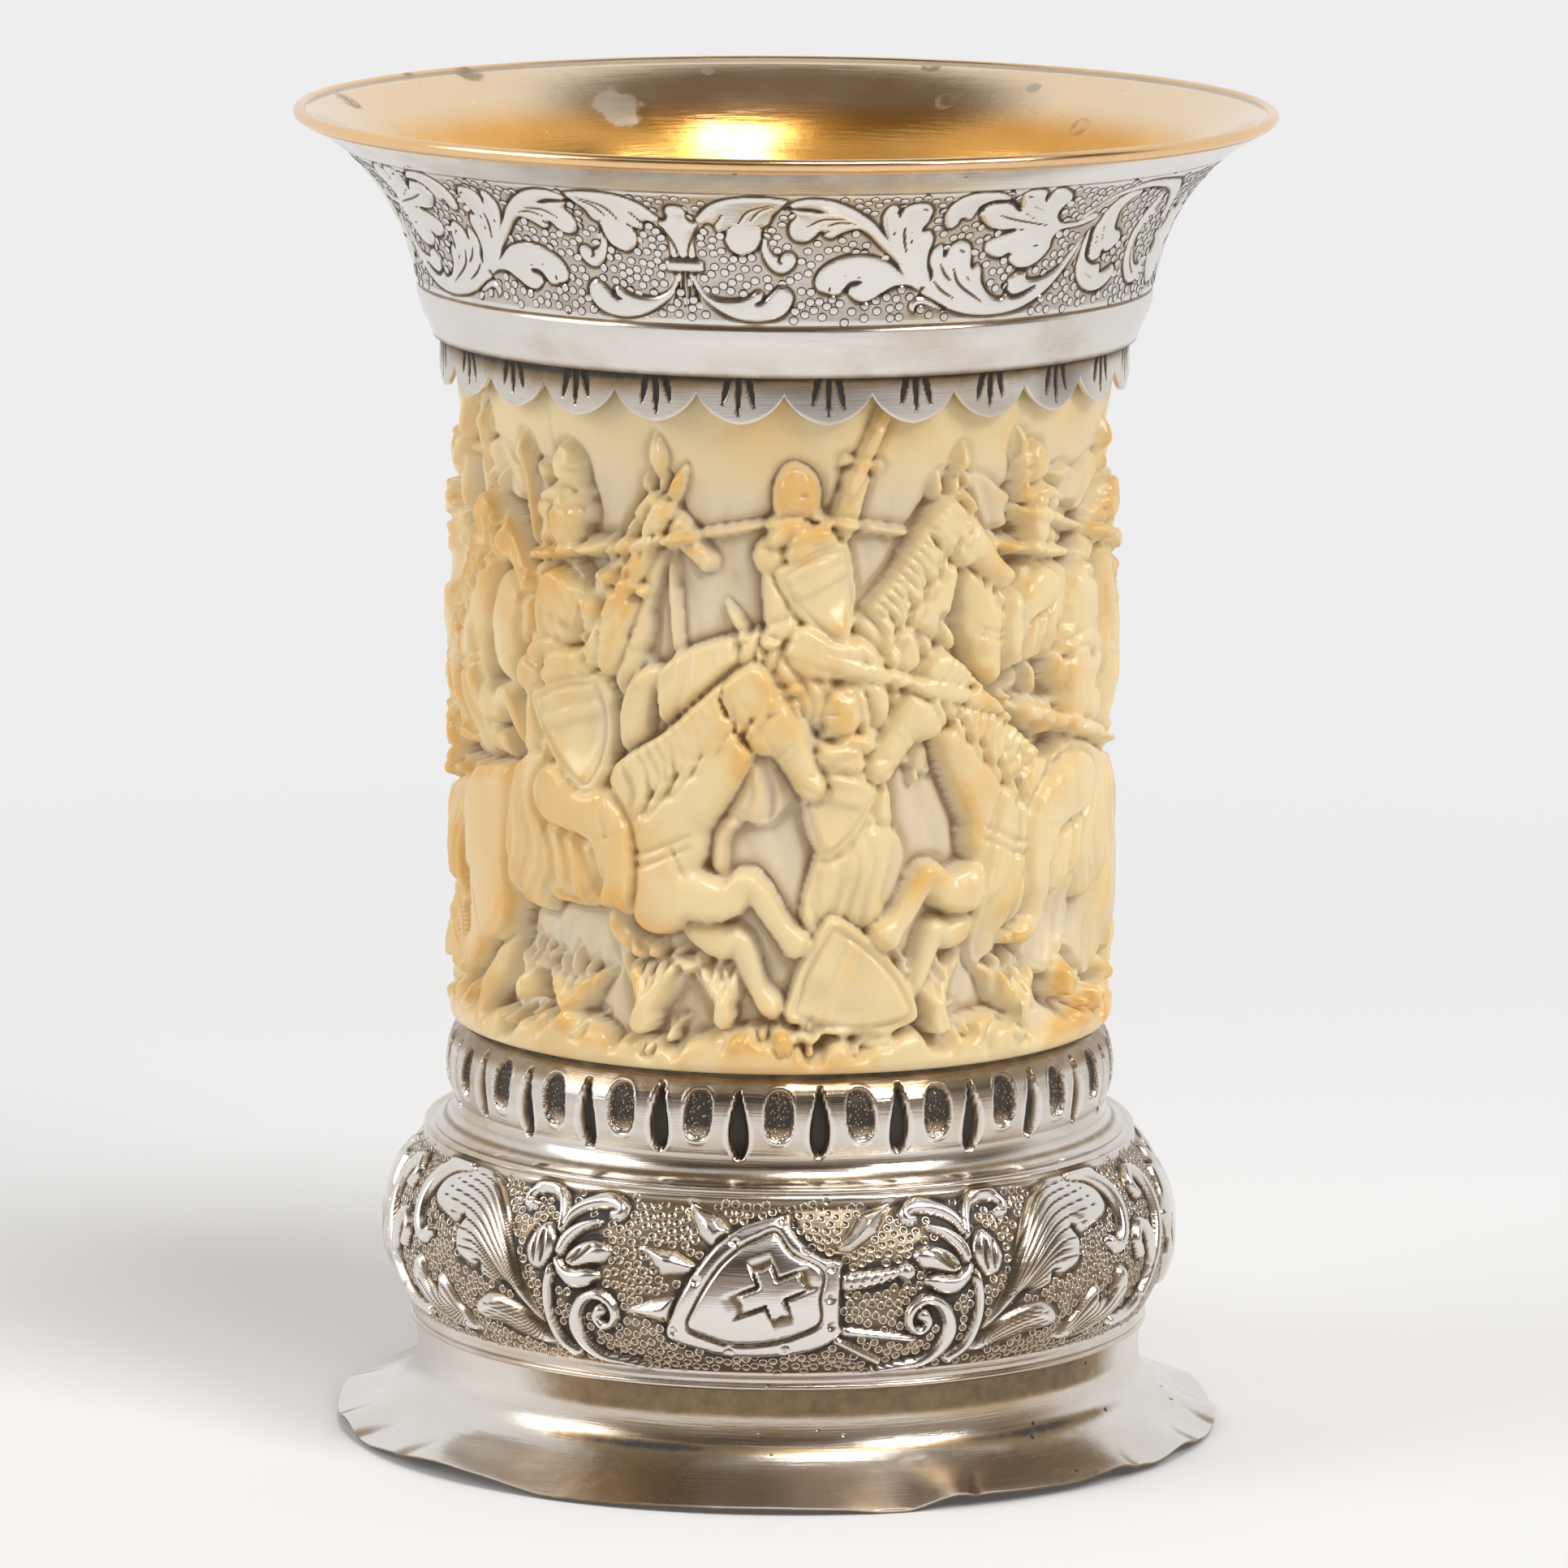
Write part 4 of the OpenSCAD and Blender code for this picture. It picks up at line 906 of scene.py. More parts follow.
def banded(outline, bands):
    """The outline in that many equal bands, and its length."""
    run = np.hypot(*np.diff(outline, axis=0).T).sum()
    return spaced(outline, run / bands), run


def inner_wall(outline, thickness, count):
    """A plain wall inside an outline, from its top down."""
    pick = np.linspace(len(outline) - 1, 0, count).round().astype(int)
    return outline[pick] - thickness * row_normals(outline)[pick]


def walled(outer, inner):
    """Outer rows that run up, followed by the same inner rows for every column."""
    return np.concatenate([outer, np.broadcast_to(inner, (len(outer), *inner.shape))], 1)


def ring_pieces(name, section, creases=(), sectors=1, fields=None, closed=True):
    """Solids round the axis in equal sectors, from rows of radius and height in millimetres for each column.

    Fields are numbers for the outer rows of each column, kept as attributes of the points.
    """
    columns, rows = section.shape[:2]
    turn = 2 * math.pi * np.arange(columns) / columns - math.pi
    radius, z = section[..., 0], section[..., 1]
    points = np.stack([radius * np.sin(turn)[:, None], -radius * np.cos(turn)[:, None], z], -1) * MM
    steps = np.linalg.norm(np.roll(section[0], -1, 0) - section[0], axis=1)
    up = np.concatenate([[0], np.cumsum(steps)]) / steps.sum()
    bands = rows if closed else rows - 1
    span = columns // sectors
    pieces = []
    for k in range(sectors):
        count = span + (sectors > 1)
        first = columns // (2 * sectors) + k * span if sectors > 1 else 0
        across = (first + np.arange(count)) % columns
        ids = np.arange(count * rows).reshape(count, rows)
        left = ids[:span]
        right = np.roll(ids, -1, 0)[:span]
        quads = np.stack([left, right, np.roll(right, -1, 1), np.roll(left, -1, 1)], -1)
        quads = quads[:, :bands].reshape(-1, 4)
        u, v = np.meshgrid(np.arange(span) * WALL_WIDE / span, up[:bands], indexing="ij")
        wide, tall = WALL_WIDE / span, np.broadcast_to(np.diff(up)[:bands], u.shape)
        corners = [(u, v), (u + wide, v), (u + wide, v + tall), (u, v + tall)]
        uvs = [np.stack([np.stack(c, -1) for c in corners], 2).reshape(-1, 2)]
        loops, sizes = [quads.ravel()], [np.full(len(quads), 4)]
        if sectors > 1:
            caps = ((ids[0], section[across[0]]), (ids[-1][::-1], section[across[-1]][::-1]))
            for (cap, place), at in zip(caps, CAPS_AT):
                low, high = place.min(0), place.max(0)
                loops.append(cap)
                sizes.append(np.array([rows]))
                uvs.append((place - low) / (high - low) * CAP_SIZE + (at, 0.01))
        mesh = bpy.data.meshes.new(name)
        sizes = np.concatenate(sizes)
        mesh.vertices.add(count * rows)
        mesh.vertices.foreach_set("co", points[across].ravel())
        mesh.loops.add(int(sizes.sum()))
        mesh.loops.foreach_set("vertex_index", np.concatenate(loops))
        mesh.polygons.add(len(sizes))
        mesh.polygons.foreach_set("loop_start", np.cumsum(sizes) - sizes)
        mesh.update(calc_edges=True)
        mesh.shade_smooth()
        mesh.uv_layers.new(name="OFBake").data.foreach_set("uv", np.concatenate(uvs).ravel())
        edges = np.empty(len(mesh.edges) * 2, np.int32)
        mesh.edges.foreach_get("vertices", edges)
        row, column = edges.reshape(-1, 2).T % rows, edges.reshape(-1, 2).T // rows
        sharp = (row[0] == row[1]) & np.isin(row[0], [c % rows for c in creases])
        if sectors > 1:
            sharp |= (column[0] == column[1]) & np.isin(column[0], [0, span])
        mesh.attributes.new("sharp_edge", "BOOLEAN", "EDGE").data.foreach_set("value", sharp)
        for field, values in (fields or {}).items():
            full = np.zeros((count, rows))
            full[:, : values.shape[1]] = values[across]
            mesh.attributes.new(field, "FLOAT", "POINT").data.foreach_set("value", full.ravel())
        if not closed:
            merge_poles(mesh)
        pieces.append(added(f"{name}_{k + 1}" if sectors > 1 else name, mesh))
    return pieces


def merge_poles(mesh):
    """Joins the points that meet on the axis."""
    shape = bmesh.new()
    shape.from_mesh(mesh)
    bmesh.ops.remove_doubles(shape, verts=[v for v in shape.verts if v.co.xy.length < 1e-6], dist=1e-7)
    bmesh.ops.dissolve_degenerate(shape, edges=shape.edges, dist=1e-9)
    shape.to_mesh(mesh)
    shape.free()


def fit(pieces, node, finish):
    """Gives pieces their finish, and puts them in the place of a CAD node."""
    for piece in pieces:
        piece.data.materials.clear()
        piece.data.materials.append(finish)
        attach(piece, "root")
        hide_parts(node)


# Shading.


class Value:
    """A number on a socket. Arithmetic on it adds Math nodes."""

    def __init__(self, paint, socket):
        self.paint, self.socket = paint, socket

    def maths(self, operation, a, b):
        return self.paint.node("ShaderNodeMath", {"operation": operation}, {0: a, 1: b}).value(0)

    def __add__(self, other):
        return self.maths("ADD", self, other)

    def __sub__(self, other):
        return self.maths("SUBTRACT", self, other)

    def __rsub__(self, other):
        return self.maths("SUBTRACT", other, self)

    def __mul__(self, other):
        return self.maths("MULTIPLY", self, other)

    def __truediv__(self, other):
        return self.maths("DIVIDE", self, other)

    def __rtruediv__(self, other):
        return self.maths("DIVIDE", other, self)

    __radd__ = __add__
    __rmul__ = __mul__

    def step(self, low, high):
        """0 below low and 1 above high, with a soft step between."""
        settings = {"interpolation_type": "SMOOTHSTEP"}
        sockets = {"Value": self, "From Min": low, "From Max": high}
        return self.paint.node("ShaderNodeMapRange", settings, sockets).value(0)


class Node:
    """A node that has been added, with its outputs as values."""

    def __init__(self, paint, node):
        self.paint, self.made = paint, node

    def value(self, key):
        return Value(self.paint, self.made.outputs[key])


class Paint:
    """One node tree under construction."""

    def __init__(self, tree):
        self.tree = tree

    def node(self, kind, settings=None, sockets=None):
        """Adds a node: its type, its settings, then the values or links of its sockets."""
        made = self.tree.nodes.new(kind)
        for key, setting in (settings or {}).items():
            setattr(made, key, setting)
        for key, given in (sockets or {}).items():
            named = [s for s in made.inputs if s.identifier == key]
            socket = named[0] if named else made.inputs[key]
            if isinstance(given, Value):
                self.tree.links.new(given.socket, socket)
            elif socket.type == "RGBA":
                socket.default_value = (*given, 1.0)[:4]
            else:
                socket.default_value = given
        return Node(self, made)

    def attribute(self, name):
        return self.node("ShaderNodeAttribute", {"attribute_name": name}).value("Fac")

    def where(self, output="Object"):
        """Coordinates of the shaded point, in metres for an object."""
        return self.node("ShaderNodeTexCoord").value(output)

    def axes(self, vector):
        return self.node("ShaderNodeSeparateXYZ", {}, {0: vector})

    def measured(self, operation, *vectors):
        """The length of a vector, or the distance of two points."""
        settings = {"operation": operation}
        return self.node("ShaderNodeVectorMath", settings, dict(enumerate(vectors))).value("Value")

    def stretched(self, scale):
        """Object coordinates times a scale for each axis."""
        return self.node("ShaderNodeMapping", {}, {"Vector": self.where(), "Scale": scale}).value(0)

    def noise(self, scale, detail, rough=0.55):
        sockets = {"Vector": self.stretched(scale), "Scale": 1.0, "Detail": detail, "Roughness": rough}
        return self.node("ShaderNodeTexNoise", {}, sockets).value(0)

    def cells(self, scale):
        """Distance to the nearest of scattered points, in cells."""
        sockets = {"Vector": self.stretched(scale), "Scale": 1.0}
        return self.node("ShaderNodeTexVoronoi", {}, sockets).value("Distance")

    def spots(self, places, ragged):
        """1 near the given places, with a ragged edge."""
        where = self.where()
        found = 0.0
        for place, size in places:
            away = self.measured("DISTANCE", where, tuple(MM * c for c in place))
            found = found + (1 - (away / (size * MM) + (ragged - 0.5) * 1.2).step(0.75, 1.05))
        return found

    def mix(self, factor, a, b):
        """Colour a where the factor is 0, colour b where it is 1."""
        sockets = {"Factor_Float": factor, "A_Color": a, "B_Color": b}
        return self.node("ShaderNodeMix", {"data_type": "RGBA"}, sockets).value(2)

    def bump(self, height, distance):
        """A normal bent by a height, over that distance in metres."""
        return self.node("ShaderNodeBump", {}, {"Height": height, "Distance": distance}).value(0)


def emptied(owner):
    """Paint for a material or a world, with no nodes in it."""
    owner.use_nodes = True
    owner.node_tree.nodes.clear()
    return Paint(owner.node_tree)


def new_finish(name, fixed):
    """A material with one surface shader: its paint, and a call that links the sockets which vary."""
    material = bpy.data.materials.new(name)
    paint = emptied(material)

    def close(varying):
        shader = paint.node("ShaderNodeBsdfPrincipled", {}, {**fixed, **varying})
        paint.node("ShaderNodeOutputMaterial", {}, {"Surface": shader.value(0)})
        return material

    return paint, close


def silver_finish(name, polish, aged, tarnish_and_shade=1.0, painted_shade=0.0, stipple=0.0, painted_dark=0.0):
    """Worn silver: brushed round the axis, brown veils, dark oxide in what lies deep, bronze along it, and
    painted shade, dark reflections and sheen where a piece's fields carry them.
    """
    colours = bpy.context.scene.beaker_silver
    paint, close = new_finish(name, {"IOR": 1.5})
    brushed = paint.noise((160, 160, 5200), 4.0)
    veil_and_reflection = paint.noise((26, 26, 330), 4.0, 0.6)
    patches = paint.noise((48, 48, 70), 5.0, 0.62)
    grime = paint.noise((700, 700, 700), 4.0, 0.6)
    pits = 1 - paint.cells((330, 330, 420)).step(0.05, 0.11)
    pits = pits * paint.noise((90, 90, 90), 2.0).step(0.52, 0.62)
    # The cavity field is oxide in the hollows and, on the foot, the collar and the strip, also painted shade
    # and painted dark reflections; the amount added over a whole piece is painted shade.
    deep = paint.attribute("cavity") * tarnish_and_shade + painted_shade
    matted = paint.attribute("ground")
    dirt_and_shade = deep + (grime - 0.5) * 0.6 * deep + (patches - 0.5) * 0.3 * deep + pits * 0.55
    if stipple:
        stipples = paint.cells((2700, 2700, 2700)).step(0.15, 0.5)
        dirt_and_shade = dirt_and_shade * (1 - 0.55 * matted * (1 - stipples))
    warm = aged * (0.45 + 0.9 * veil_and_reflection.step(0.35, 0.65)) + patches.step(0.46, 0.7) * 0.4
    # Lighter where the rubbed field is set: polish worn bright on raised parts, and on the foot a painted
    # highlight along the edge and painted pale reflections on its sides and front flange.
    warm = (warm + (brushed - 0.5).step(0.02, 0.35) * 0.2) * (1 - paint.attribute("rubbed"))
    colour = paint.mix(warm, colours.polished, colours.warm)
    # Painted dark reflections and shade on the strip, laid where its ground field is set.
    if painted_dark:
        colour = paint.mix(matted * (0.7 + 0.6 * veil_and_reflection) * painted_dark, colour, colours.painted_dark)
    colour = paint.mix(dirt_and_shade.step(0.12, 0.5), colour, colours.bronze)
    colour = paint.mix(dirt_and_shade.step(0.4, 0.85), colour, colours.oxide_and_shade)
    rough = polish + 0.1 * (brushed - 0.5) + 0.12 * patches.step(0.5, 0.8) + 0.3 * dirt_and_shade.step(0.2, 0.9)
    height = brushed * 0.35 + grime * 0.2 - pits * 0.8
    if stipple:
        height = height - matted * stipples * stipple
    return close({
        "Base Color": colour,
        "Metallic": 1 - 0.72 * dirt_and_shade.step(0.35, 0.9),
        "Roughness": rough,
        "Normal": paint.bump(height, 0.00006),
    })


# Places inside the mouth, in millimetres, where the gilding is worn through or stained, with their size.
WORN = [
    ((-16.8, 36.6, 124.3), 2.7), ((-7.9, 43.5, 127.4), 0.8), ((24.6, 35.6, 126.6), 0.9),
    ((38.0, -8.0, 124.0), 2.2), ((-29.0, -27.0, 125.0), 2.0),
]
STAINED = [
    ((-42.4, 12.3, 127.4), 1.7), ((-31.6, 32.9, 128.1), 1.9), ((14.4, 42.8, 127.9), 1.2),
    ((15.7, 37.9, 125.0), 1.1), ((28.9, 27.3, 123.7), 1.2), ((7.0, -43.0, 127.0), 1.3),
]


def gilt_finish(name, lip_paleness=1.0):
    """Gilding: warm gold, rubbed through to grey silver in places, paler towards the lip with thin gilding
    and painted reflection, with dark stains and scratches.
    """
    colours = bpy.context.scene.beaker_gilding
    paint, close = new_finish(name, {"IOR": 1.5})
    cloud = paint.noise((38, 38, 38), 5.0, 0.6)
    fine = paint.noise((600, 600, 600), 4.0, 0.6)
    brushed = paint.noise((180, 180, 3400), 3.0)
    ragged = paint.noise((420, 420, 420), 3.0, 0.6)
    thin = paint.noise((75, 75, 95), 4.0, 0.65).step(0.66, 0.74) * fine.step(0.3, 0.6)
    rubbed = thin + paint.spots(WORN, ragged)
    streaks = paint.noise((120, 120, 55), 3.0, 0.6).step(0.7, 0.8)
    stain_and_shade = streaks + paint.spots(STAINED, ragged) * ragged.step(0.35, 0.6)
    scratch = 1 - paint.cells((55, 900, 210)).step(0.02, 0.05)
    colour = paint.mix(cloud.step(0.35, 0.68), colours.gold, colours.deep)
    # Paler towards the lip: thin gilding, and painted reflection of the pale surroundings.
    lip = paint.axes(paint.where()).value("Z").step(0.1226, 0.126)
    colour = paint.mix(lip * (0.4 + 0.6 * cloud) * lip_paleness, colour, colours.pale)
    colour = paint.mix(rubbed * 0.75, colour, colours.rubbed)
    colour = paint.mix(stain_and_shade * 0.7, colour, colours.stain_and_shade)
    rough = 0.13 + 0.1 * cloud.step(0.4, 0.7) + 0.15 * rubbed + 0.2 * stain_and_shade + 0.06 * (brushed - 0.5)
    return close({
        "Base Color": colour,
        "Metallic": 1 - 0.35 * stain_and_shade,
        "Roughness": rough,
        "Normal": paint.bump(brushed * 0.3 + fine * 0.25 - scratch * 0.5, 0.00006),
    })


def ivory_finish(name):
    """Old ivory: grey cream ground, ochre on what stands high, brown stain and painted shade in the cuts,
    upright grain.
    """
    colours = bpy.context.scene.beaker_ivory
    fixed = {"IOR": 1.54, "Coat Weight": 0.25, "Coat Roughness": 0.12, "Subsurface Weight": 0.3,
             "Subsurface Scale": 0.0014, "Subsurface Radius": (1.0, 0.65, 0.35)}
    paint, close = new_finish(name, fixed)
    high = paint.attribute("height")
    deep = paint.attribute("cavity")
    crest = paint.attribute("crest")
    blotch = paint.noise((62, 62, 44), 5.0, 0.6)
    mottle = paint.noise((260, 260, 180), 4.0, 0.6)
    grain = paint.noise((520, 520, 26), 4.0, 0.6)
    level = high + 0.4 * (blotch - 0.5) + 0.2 * (mottle - 0.5)
    colour = paint.mix(level.step(0.2, 0.7), colours.ground, colours.body)
    handled = blotch.step(0.44, 0.6) * level.step(0.4, 0.85) * 0.6
    worn = handled + crest.step(0.3, 1.0) * blotch.step(0.38, 0.6) * 0.6
    colour = paint.mix(worn, colour, colours.high)
    colour = paint.mix(grain.step(0.5, 0.75) * 0.22, colour, colours.high)
    # Brown in the cuts: stain, and painted shade standing in for the shadows of undercuts.
    stain_and_shade = deep * (0.35 + 1.1 * blotch) + 0.2 * (mottle - 0.5) * deep
    colour = paint.mix(stain_and_shade.step(0.3, 1.3), colour, colours.stain_and_shade)
    return close({
        "Base Color": colour,
        "Roughness": 0.3 + 0.15 * (1 - high.step(0.3, 0.9)) + 0.2 * stain_and_shade.step(0.3, 0.9),
        "Normal": paint.bump(grain * 0.5 + mottle * 0.4, 0.00008),
    })


# Ring matting.


def punch_mesh(name, rings, sides):
    """One punch mark: rings of radius, height and depth of stain round a centre point, in millimetres."""
    points, deep, faces = [(0.0, 0.0, rings[0][1] * MM)], [rings[0][2]], []
    for radius, height, stain_and_shade in rings:
        for i in range(sides):
            turn = 2 * math.pi * i / sides
            points.append((radius * math.cos(turn) * MM, radius * math.sin(turn) * MM, height * MM))
            deep.append(stain_and_shade)
    for i in range(sides):
        faces.append((0, 1 + i, 1 + (i + 1) % sides))
        for k in range(len(rings) - 1):
            a, b = 1 + k * sides, 1 + (k + 1) * sides
            faces.append((a + i, b + i, b + (i + 1) % sides, a + (i + 1) % sides))
    mesh = bpy.data.meshes.new(name)
    mesh.from_pydata(points, [], faces)
    mesh.shade_smooth()
    mesh.attributes.new("cavity", "FLOAT", "POINT").data.foreach_set("value", deep)
    return mesh


def matting_tree():
    """Scatters punch marks as close as they fit over what the attribute ground leaves free."""
    tree = bpy.data.node_groups.new("Ring matting", "GeometryNodeTree")
    inputs = {
        "Surface": "Geometry", "Punch": "Object", "Spacing": "Float", "Density": "Float", "Seed": "Int",
        "Finish": "Material",
    }
    sockets = {}
    for name, kind in inputs.items():
        made = tree.interface.new_socket(name, in_out="INPUT", socket_type=f"NodeSocket{kind}")
        sockets[name] = made.identifier
    tree.interface.new_socket("Marks", in_out="OUTPUT", socket_type="NodeSocketGeometry")
    paint = Paint(tree)
    given = paint.node("NodeGroupInput")
    ground = paint.node("GeometryNodeInputNamedAttribute", {"data_type": "FLOAT"}, {"Name": "ground"})
    scatter = paint.node("GeometryNodeDistributePointsOnFaces", {"distribute_method": "POISSON"}, {
        "Mesh": given.value("Surface"),
        "Distance Min": given.value("Spacing"),
        "Density Max": given.value("Density"),
        "Density Factor": ground.value(0),
        "Seed": given.value("Seed"),
    })
    punch = paint.node("GeometryNodeObjectInfo", {}, {"Object": given.value("Punch")})
    marks = paint.node("GeometryNodeInstanceOnPoints", {}, {
        "Points": scatter.value("Points"),
        "Instance": punch.value("Geometry"),
        "Rotation": scatter.value("Rotation"),
    })
    solid = paint.node("GeometryNodeRealizeInstances", {}, {"Geometry": marks.value(0)})
    dressed = {"Geometry": solid.value(0), "Material": given.value("Finish")}
    finished = paint.node("GeometryNodeSetMaterial", {}, dressed)
    paint.node("NodeGroupOutput", {}, {"Marks": finished.value(0)})
    return tree, sockets


def matted(pieces, node, rings, spacing, finish):
    """Punch marks on pieces of one node, each made a plain mesh with its own place in the UV square."""
    settings = bpy.context.scene.beaker_matting
    tree, sockets = matting_tree()
    mark = punch_mesh("punch", rings, settings.sides)
    punch = added("punch", mark)
    for number, piece in enumerate(pieces):
        carrier = added("carrier", piece.data)
        modifier = carrier.modifiers.new("Matting", "NODES")
        modifier.node_group = tree
        values = {
            "Punch": punch, "Spacing": spacing, "Density": settings.density, "Seed": settings.seed + number,
            "Finish": finish,
        }
        for name, value in values.items():
            modifier[sockets[name]] = value
        graph = bpy.context.evaluated_depsgraph_get()
        mesh = bpy.data.meshes.new_from_object(carrier.evaluated_get(graph), depsgraph=graph)
        carrier.modifiers.clear()
        bpy.data.objects.remove(carrier)
        if not mesh.vertices:
            raise RuntimeError(f"no punch marks on {piece.name}")
        tiled(mesh, mark)
        fit([added(f"{piece.name}_matting", mesh)], node, finish)
    bpy.data.objects.remove(punch)


def tiled(mesh, mark):
    """Lays every mark in a square of its own."""
    each = len(mark.vertices)
    flat = np.empty(each * 3)
    mark.vertices.foreach_get("co", flat)
    flat = flat.reshape(-1, 3)[:, :2]
    flat = 0.5 + 0.45 * flat / abs(flat).max()
    corner = np.empty(len(mesh.loops), np.int32)
    mesh.loops.foreach_get("vertex_index", corner)
    side = math.ceil(math.sqrt(len(mesh.vertices) / each))
    index = corner // each
    uv = (np.stack([index % side, index // side], 1) + flat[corner % each]) / side
    layer = mesh.uv_layers.get("OFBake") or mesh.uv_layers.new(name="OFBake")
    layer.data.foreach_set("uv", uv.ravel())


# Outlines that repeat the CAD sizes, in millimetres: radius and height.


def mouth_outline():
    """Outside of the mouth mount, from its foot to the lip."""
    lip, foot = (46.386, 127.1), (35.45, 111.4)
    lean, spread, handle = math.radians(7), math.radians(65), 6.79
    leave = (foot[0] + handle * math.sin(lean), foot[1] + handle * math.cos(lean))
    arrive = (lip[0] - handle * math.sin(spread), lip[1] - handle * math.cos(spread))
    band = bezier([(33.85, 106.6), (34.41, 108.28), (35.45, 109.72), foot], 40)
    return np.vstack([band[:-1], bezier([foot, leave, arrive, lip], 80)])


def drum_outline():
    """Outside of the drum: two arcs that meet at its belly."""
    low, high, belly, radius = 11, 29, 19.28, 38.5
    lower_arc, upper_arc = 13.64, 13.35
    z = np.linspace(low, high, 200)
    arc = np.where(z < belly, lower_arc, upper_arc)
    return np.stack([radius - arc + np.sqrt(arc**2 - (z - belly) ** 2), z], 1)


def collar_outline():
    """Outside of the collar: a hollow neck under a bulging wall."""
    flange, hollow_radius, neck, top = 34.3, 2.5, 32.1, 39.7
    turn = np.linspace(0, math.pi / 2, 24)
    hollow = np.stack([flange - hollow_radius * np.sin(turn), neck - hollow_radius * np.cos(turn)], 1)
    z = np.linspace(neck, top, 60)[1:]
    bulge = 32.5 - 0.7 * ((z - 35.6) / 3.5) ** 2 - 0.7 * np.maximum((z - 36.4) / 3.3, 0) ** 2.4
    return np.vstack([hollow, np.stack([bulge, z], 1)])


def rounded(low, high, edge):
    """A section between two corners (radius, height) with its outer corners rounded, from its foot up."""
    turn = np.linspace(0, math.pi / 2, 6)
    foot = np.stack([high[0] - edge + edge * np.sin(turn), low[1] + edge - edge * np.cos(turn)], 1)
    top = np.stack([high[0] - edge + edge * np.cos(turn), high[1] - edge + edge * np.sin(turn)], 1)
    return np.vstack([[(low[0], low[1])], foot, top, [(low[0], high[1])]])


def around(section, columns, wobble=0.0):
    """One section for every column, with a slight hand-made waver."""
    turn = 2 * math.pi * np.arange(columns)[:, None] / columns
    waver = wobble * (np.sin(5 * turn + 1) + 0.6 * np.sin(11 * turn + 2) + 0.4 * np.sin(23 * turn))
    ring = np.repeat(section[None], columns, 0)
    ring[..., 0] += waver
    return ring


# Pieces.

# Columns of a wire, and how far it wavers, in millimetres.
WIRE_COLUMNS = 360
WIRE_WAVER = 0.02


def tint(label, text, default):
    """A colour that can be set in the panel."""
    return FloatVectorProperty(name=label, description=text, subtype="COLOR", default=default)


class BeakerSilver(bpy.types.PropertyGroup):
    """Colours of the silver"""

    polished: tint("Polished", "Clean silver", (0.80, 0.77, 0.73))
    # Painted dark reflections and shade on the strip.
    painted_dark: tint("Dull", "Grey film on unpolished silver", (0.17, 0.155, 0.15))
    warm: tint("Warm", "Silver with a breath of tarnish", (0.50, 0.38, 0.26))
    # Bronze and oxide are also laid as painted shade and painted dark reflections on the foot, the collar,
    # the strip and the deck plate.
    bronze: tint("Bronze", "Tarnish along the recesses", (0.30, 0.21, 0.12))
    oxide_and_shade: tint("Oxide", "Dark oxide in the recesses", (0.04, 0.034, 0.028))


class BeakerGilding(bpy.types.PropertyGroup):
    """Colours of the gilding"""

    gold: tint("Gold", "Bright gilding", (0.95, 0.52, 0.16))
    deep: tint("Deep gold", "Browner gilding", (0.76, 0.38, 0.09))
    # Paler gilding near the lip: thin gilding, and painted reflection of the pale surroundings.
    pale: tint("Pale gold", "Thin gilding near the lip", (0.93, 0.81, 0.63))
    rubbed: tint("Rubbed", "Silver under the gilding", (0.60, 0.55, 0.46))
    stain_and_shade: tint("Stain", "Dark stains", (0.13, 0.085, 0.045))


class BeakerIvory(bpy.types.PropertyGroup):
    """Colours of the ivory"""

    ground: tint("Ground", "What lies deep", (0.74, 0.64, 0.46))
    body: tint("Body", "Clean ivory", (0.82, 0.66, 0.37))
    high: tint("High", "Handled high points", (0.78, 0.48, 0.15))
    # Brown in the cuts: stain, and painted shade of undercuts.
    stain_and_shade: tint("Stain", "Stain in the cuts", (0.36, 0.185, 0.06))


class BeakerMatting(bpy.types.PropertyGroup):
    """Punch marks of the grounds"""

    mouth_spacing: FloatProperty(name="Mouth spacing", description="Least distance of marks on the mouth",
                                 unit="LENGTH", default=0.00078)
    drum_spacing: FloatProperty(name="Drum spacing", description="Least distance of marks on the drum",
                                unit="LENGTH", default=0.00082)
    density: FloatProperty(name="Density", description="Tries for a mark on a square metre", default=2.0e7)
    sides: IntProperty(name="Sides", description="Corners of a mark", default=9)
    seed: IntProperty(name="Seed", description="Changes where the marks fall", default=4)


class BeakerStudio(bpy.types.PropertyGroup):
    """Floor, light and camera"""

    floor: tint("Floor", "Colour of the floor", (0.855, 0.855, 0.855))
    sides: tint("Sides", "Light from the sides", (0.78, 0.77, 0.75))
    backdrop: tint("Backdrop", "Light from behind", (0.86, 0.86, 0.86))
    ceiling: tint("Ceiling", "Light from above", (0.15, 0.115, 0.085))
    room: tint("Room", "Light from the room in front", (0.34, 0.28, 0.23))
    gloom: tint("Gloom", "Light from the upper part of the room", (0.07, 0.05, 0.035))
    key: FloatProperty(name="Key", description="Power of the lamp on the right", unit="POWER", default=8.3)
    fill: FloatProperty(name="Fill", description="Power of the lamp on the left", unit="POWER", default=4.4)
    top: FloatProperty(name="Top", description="Power of the lamp overhead", unit="POWER", default=4.6)
    lens: FloatProperty(name="Lens", description="Focal length in millimetres", default=248.6)


